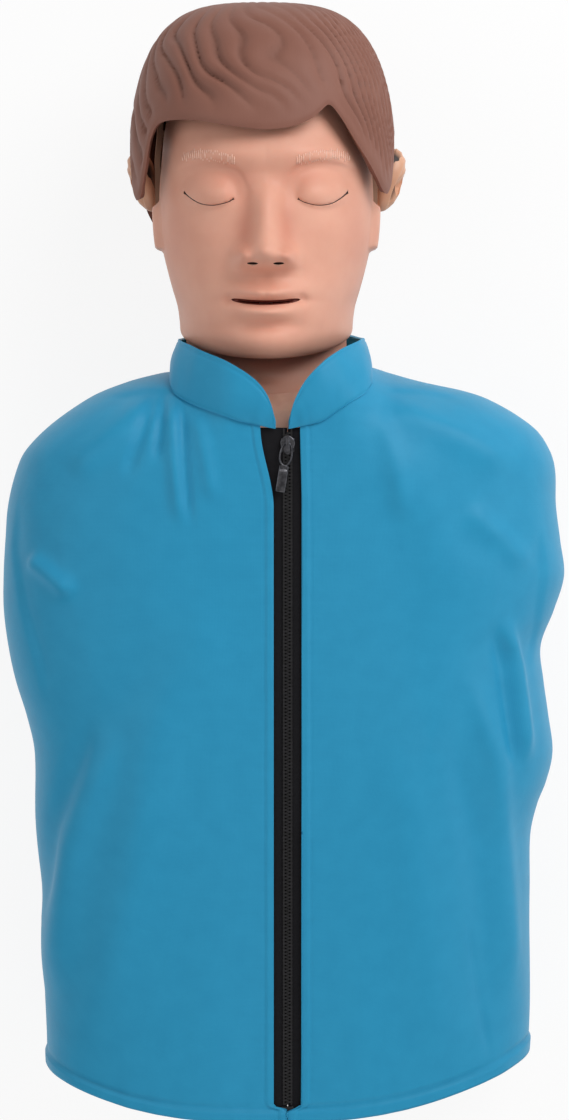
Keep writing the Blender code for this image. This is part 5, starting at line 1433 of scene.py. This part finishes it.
place = on_zip(SLIDER_Y)
work = bmesh.new()
plate = bmesh.ops.create_circle(work, cap_ends=True, segments=40, radius=1.0)["verts"]
for vertex in plate:
    x, y = vertex.co.x, vertex.co.y
    shoulder = 0.78 + 0.22 * math.cos(math.pi * (y - 0.25) * 0.9)
    vertex.co = (power(x, 0.62) * 0.0047 * shoulder, power(y, 0.8) * SLIDER_LENGTH / 2, PLATE_LOW)
pushed = bmesh.ops.extrude_face_region(work, geom=work.faces[:])
moved = [v for v in pushed["geom"] if isinstance(v, bmesh.types.BMVert)]
bmesh.ops.translate(work, verts=moved, vec=(0, 0, SLIDER_PLATE))
bmesh.ops.recalc_face_normals(work, faces=work.faces)
rim_edges = [e for e in work.edges if all(v.co.z > PLATE_LOW + 0.001 for v in e.verts)]
bmesh.ops.bevel(work, geom=rim_edges, offset=0.0005, segments=3, affect="EDGES", profile=0.5, material=-1)
bmesh.ops.transform(work, matrix=place, verts=work.verts)
for side in (-1, 1):
    box(work, (0.0012, 0.0086, 0.0021), (side * 0.0036, 0, 0.0010), place, 0.0003)
bridge_top = PLATE_LOW + SLIDER_PLATE + 0.0030
for post_y in (0.0042, -0.0034):
    box(work, (0.0024, 0.0012, 0.0032), (0, post_y, bridge_top - 0.0017), place, 0.0004)
box(work, (0.0024, 0.0088, 0.0011), (0, 0.0004, bridge_top), place, 0.0004, 3)
slider = as_piece("slider_body", work, gunmetal)
slider.data.set_sharp_from_angle(angle=math.radians(40))
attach(slider, "zip_slider")
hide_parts("zip_slider")

# %% The ring and its tab
HANG = math.radians(-9)
place = on_zip(SLIDER_Y + 0.0008) @ Matrix.Translation((0, 0, PULL_AXIS_Z)) @ Matrix.Rotation(HANG, 4, "Z")
WIRE, RING_STEPS = 0.00062, 48
ring = bmesh.new()
ring_steps = []
for step in range(RING_STEPS):
    angle = 2 * math.pi * step / RING_STEPS
    t = 0.5 - 0.5 * math.cos(angle)
    wide = 0.0041 * math.sin(angle) * (0.82 + 0.18 * t)
    ring_steps.append(Vector((wide, 0.0006 - 0.0146 * t, 0)))
loops = []
for n, spot in enumerate(ring_steps):
    tangent = ring_steps[(n + 1) % RING_STEPS] - ring_steps[n - 1]
    turn = tangent.to_track_quat("Z", "X").to_matrix().to_4x4()
    loop = bmesh.ops.create_circle(ring, segments=10, radius=WIRE, matrix=Matrix.Translation(spot) @ turn)
    loops.append(list({e for v in loop["verts"] for e in v.link_edges}))
for first, second in zip(loops, loops[1:] + loops[:1]):
    bmesh.ops.bridge_loops(ring, edges=first + second)
bmesh.ops.recalc_face_normals(ring, faces=ring.faces)
bmesh.ops.transform(ring, matrix=place, verts=ring.verts)
box(ring, (0.0060, 0.0168, 0.0012), (0, -0.0226, 0), place, 0.0005, 3)
box(ring, (0.0040, 0.0030, 0.0019), (0, -0.0153, 0), place, 0.0004)
pull = as_piece("pull_ring_and_tab", ring, gunmetal)
pull.data.set_sharp_from_angle(angle=math.radians(40))
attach(pull, "zip_pull")
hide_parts("zip_pull")
# The bar across the tab carries the lighter zinc, a painted highlight
bar = bmesh.new()
box(bar, (0.0046, 0.0014, 0.0006), (0, -0.0172, 0.0008), place, 0.0002)
bar_piece = as_piece("pull_bar", bar, tab_highlight_zinc)
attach(bar_piece, "zip_pull")
print("pull", len(pull.data.polygons), "faces")

# %% [markdown]
# ## The finish of the parts that carry the body
# Everything below the skin and the cloth keeps its imported shape. Each takes the finish of what it
# is made of: moulded ABS for the shells, glass-filled nylon for the plate and the neck, zinc-plated
# steel for the axle, pins, screws and spring, foam, felt, and thin clear film for the airway. The skull
# under the face and the head's shell under the hair are near-black instead, as painted shade for the gap
# beside the mask.

# %% Materials of the carried parts
def moulded(name, low, high, roughness, grain_mm, depth_mm, **shader_inputs):
    """A finish with two close tones and a moulded grain."""
    return toned_finish(
        name, low, roughness, (low, high), grain_mm * 8, (grain_mm, depth_mm, 0.5), **shader_inputs
    )


shell_abs = moulded("moulded ABS", "#D8D3C8", "#E2DED5", 0.42, 1.0, 0.05)
# Painted shade: near-black ABS for the skull under the face, for the shadowed gap beside the mask
gap_shade_abs = moulded("moulded ABS, painted shade", "#2A1C18", "#36241F", 0.60, 1.0, 0.05)
nylon = moulded("glass-filled nylon", "#8C8E90", "#9A9C9F", 0.50, 0.7, 0.06)
steel = moulded("zinc-plated steel", "#A8A9AB", "#BDBEC0", 0.28, 0.9, 0.02, Metallic=1.0)
foam = moulded("open-cell foam", "#DAD6C6", "#E8E4D6", 0.92, 0.8, 0.4)
felt = moulded("pressed felt", "#2B2B2D", "#3B3B3E", 0.95, 0.5, 0.2)
silicone = moulded("mouth silicone", "#5E2318", "#7C3122", 0.48, 1.2, 0.05)
film = moulded("clear airway film", "#D9E2E5", "#E8EFF1", 0.22, 6.0, 0.1, **{"Transmission Weight": 0.6})
skin_under = moulded("soft chest vinyl", "#D39C87", "#DDA893", 0.5, 1.0, 0.06, **{"Subsurface Weight": 0.1})
FINISHES = {
    "back_shell": shell_abs, "shoulder_shell": skin_under, "skull_face": gap_shade_abs, "lower_jaw": shell_abs,
    "chest_plate": nylon, "neck_bracket": nylon, "neck_knuckle": nylon, "chest_skin": skin_under,
    "skin_pad_left": foam, "skin_pad_right": foam, "lung_bag": film, "airway_tube": film,
    "neck_axle": steel, "jaw_pin_left": steel, "jaw_pin_right": steel,
    "bracket_screw_left": steel, "bracket_screw_right": steel, "knuckle_screw_left": steel,
    "knuckle_screw_right": steel, "friction_washer_left": felt, "friction_washer_right": felt,
    "mouth_insert": silicone, "head_shell": gap_shade_head_plastic,
}
for name, material in FINISHES.items():
    node = bpy.data.objects[name]
    for slot_of in node.material_slots:
        slot_of.material = material
print(len(FINISHES), "carried parts finished")

# %% [markdown]
# ## The spring
# The spring stands between the tub and the plate. On the real manikin its foot stays with the torso
# and its head goes down with the chest, so its turns close up as the chest is pressed. Here its wire
# is made at rest. It takes its place and its height from the imported spring.

# %% The spring's wire
SPRING_TURNS, SPRING_WIRE, WIRE_SIDES, STEPS_A_TURN = 6, 0.0019, 12, 40
low, high = packed_box("compression_spring")
foot, top = low.z + SPRING_WIRE, high.z - SPRING_WIRE
spring_y = (low.y + high.y) / 2
spring_radius = high.x - SPRING_WIRE
coil = []
for step in range(SPRING_TURNS * STEPS_A_TURN + 1):
    share, angle = step / (SPRING_TURNS * STEPS_A_TURN), 2 * math.pi * step / STEPS_A_TURN
    lift = 0.15 * eased((share - 0.07) / 0.86) + 0.85 * min(max((share - 0.09) / 0.82, 0), 1)
    x, y = spring_radius * math.cos(angle), spring_y + spring_radius * math.sin(angle)
    coil.append(Vector((x, y, foot + (top - foot) * lift)))
rings = []
for n, spot in enumerate(coil):
    tangent = coil[min(n + 1, len(coil) - 1)] - coil[max(n - 1, 0)]
    out = Vector((spot.x, spot.y - spring_y, 0)).normalized()
    rise = tangent.cross(out).normalized()
    angles = [2 * math.pi * k / WIRE_SIDES for k in range(WIRE_SIDES)]
    rings.append([spot + SPRING_WIRE * (out * math.cos(a) + rise * math.sin(a)) for a in angles])
coiled = as_piece("spring_wire", lofted(rings), steel)
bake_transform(coiled)
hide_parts("compression_spring")

# %% [markdown]
# ## The fronts' last step
# The fronts' places are baked into their meshes, and the imported fronts are hidden.

# %% The fronts baked, and the imported ones hidden
for side, end in ((-1, "right"), (1, "left")):
    panel = fronts[side]
    ride_with_chest(panel)
    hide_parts("jacket_front_" + end)
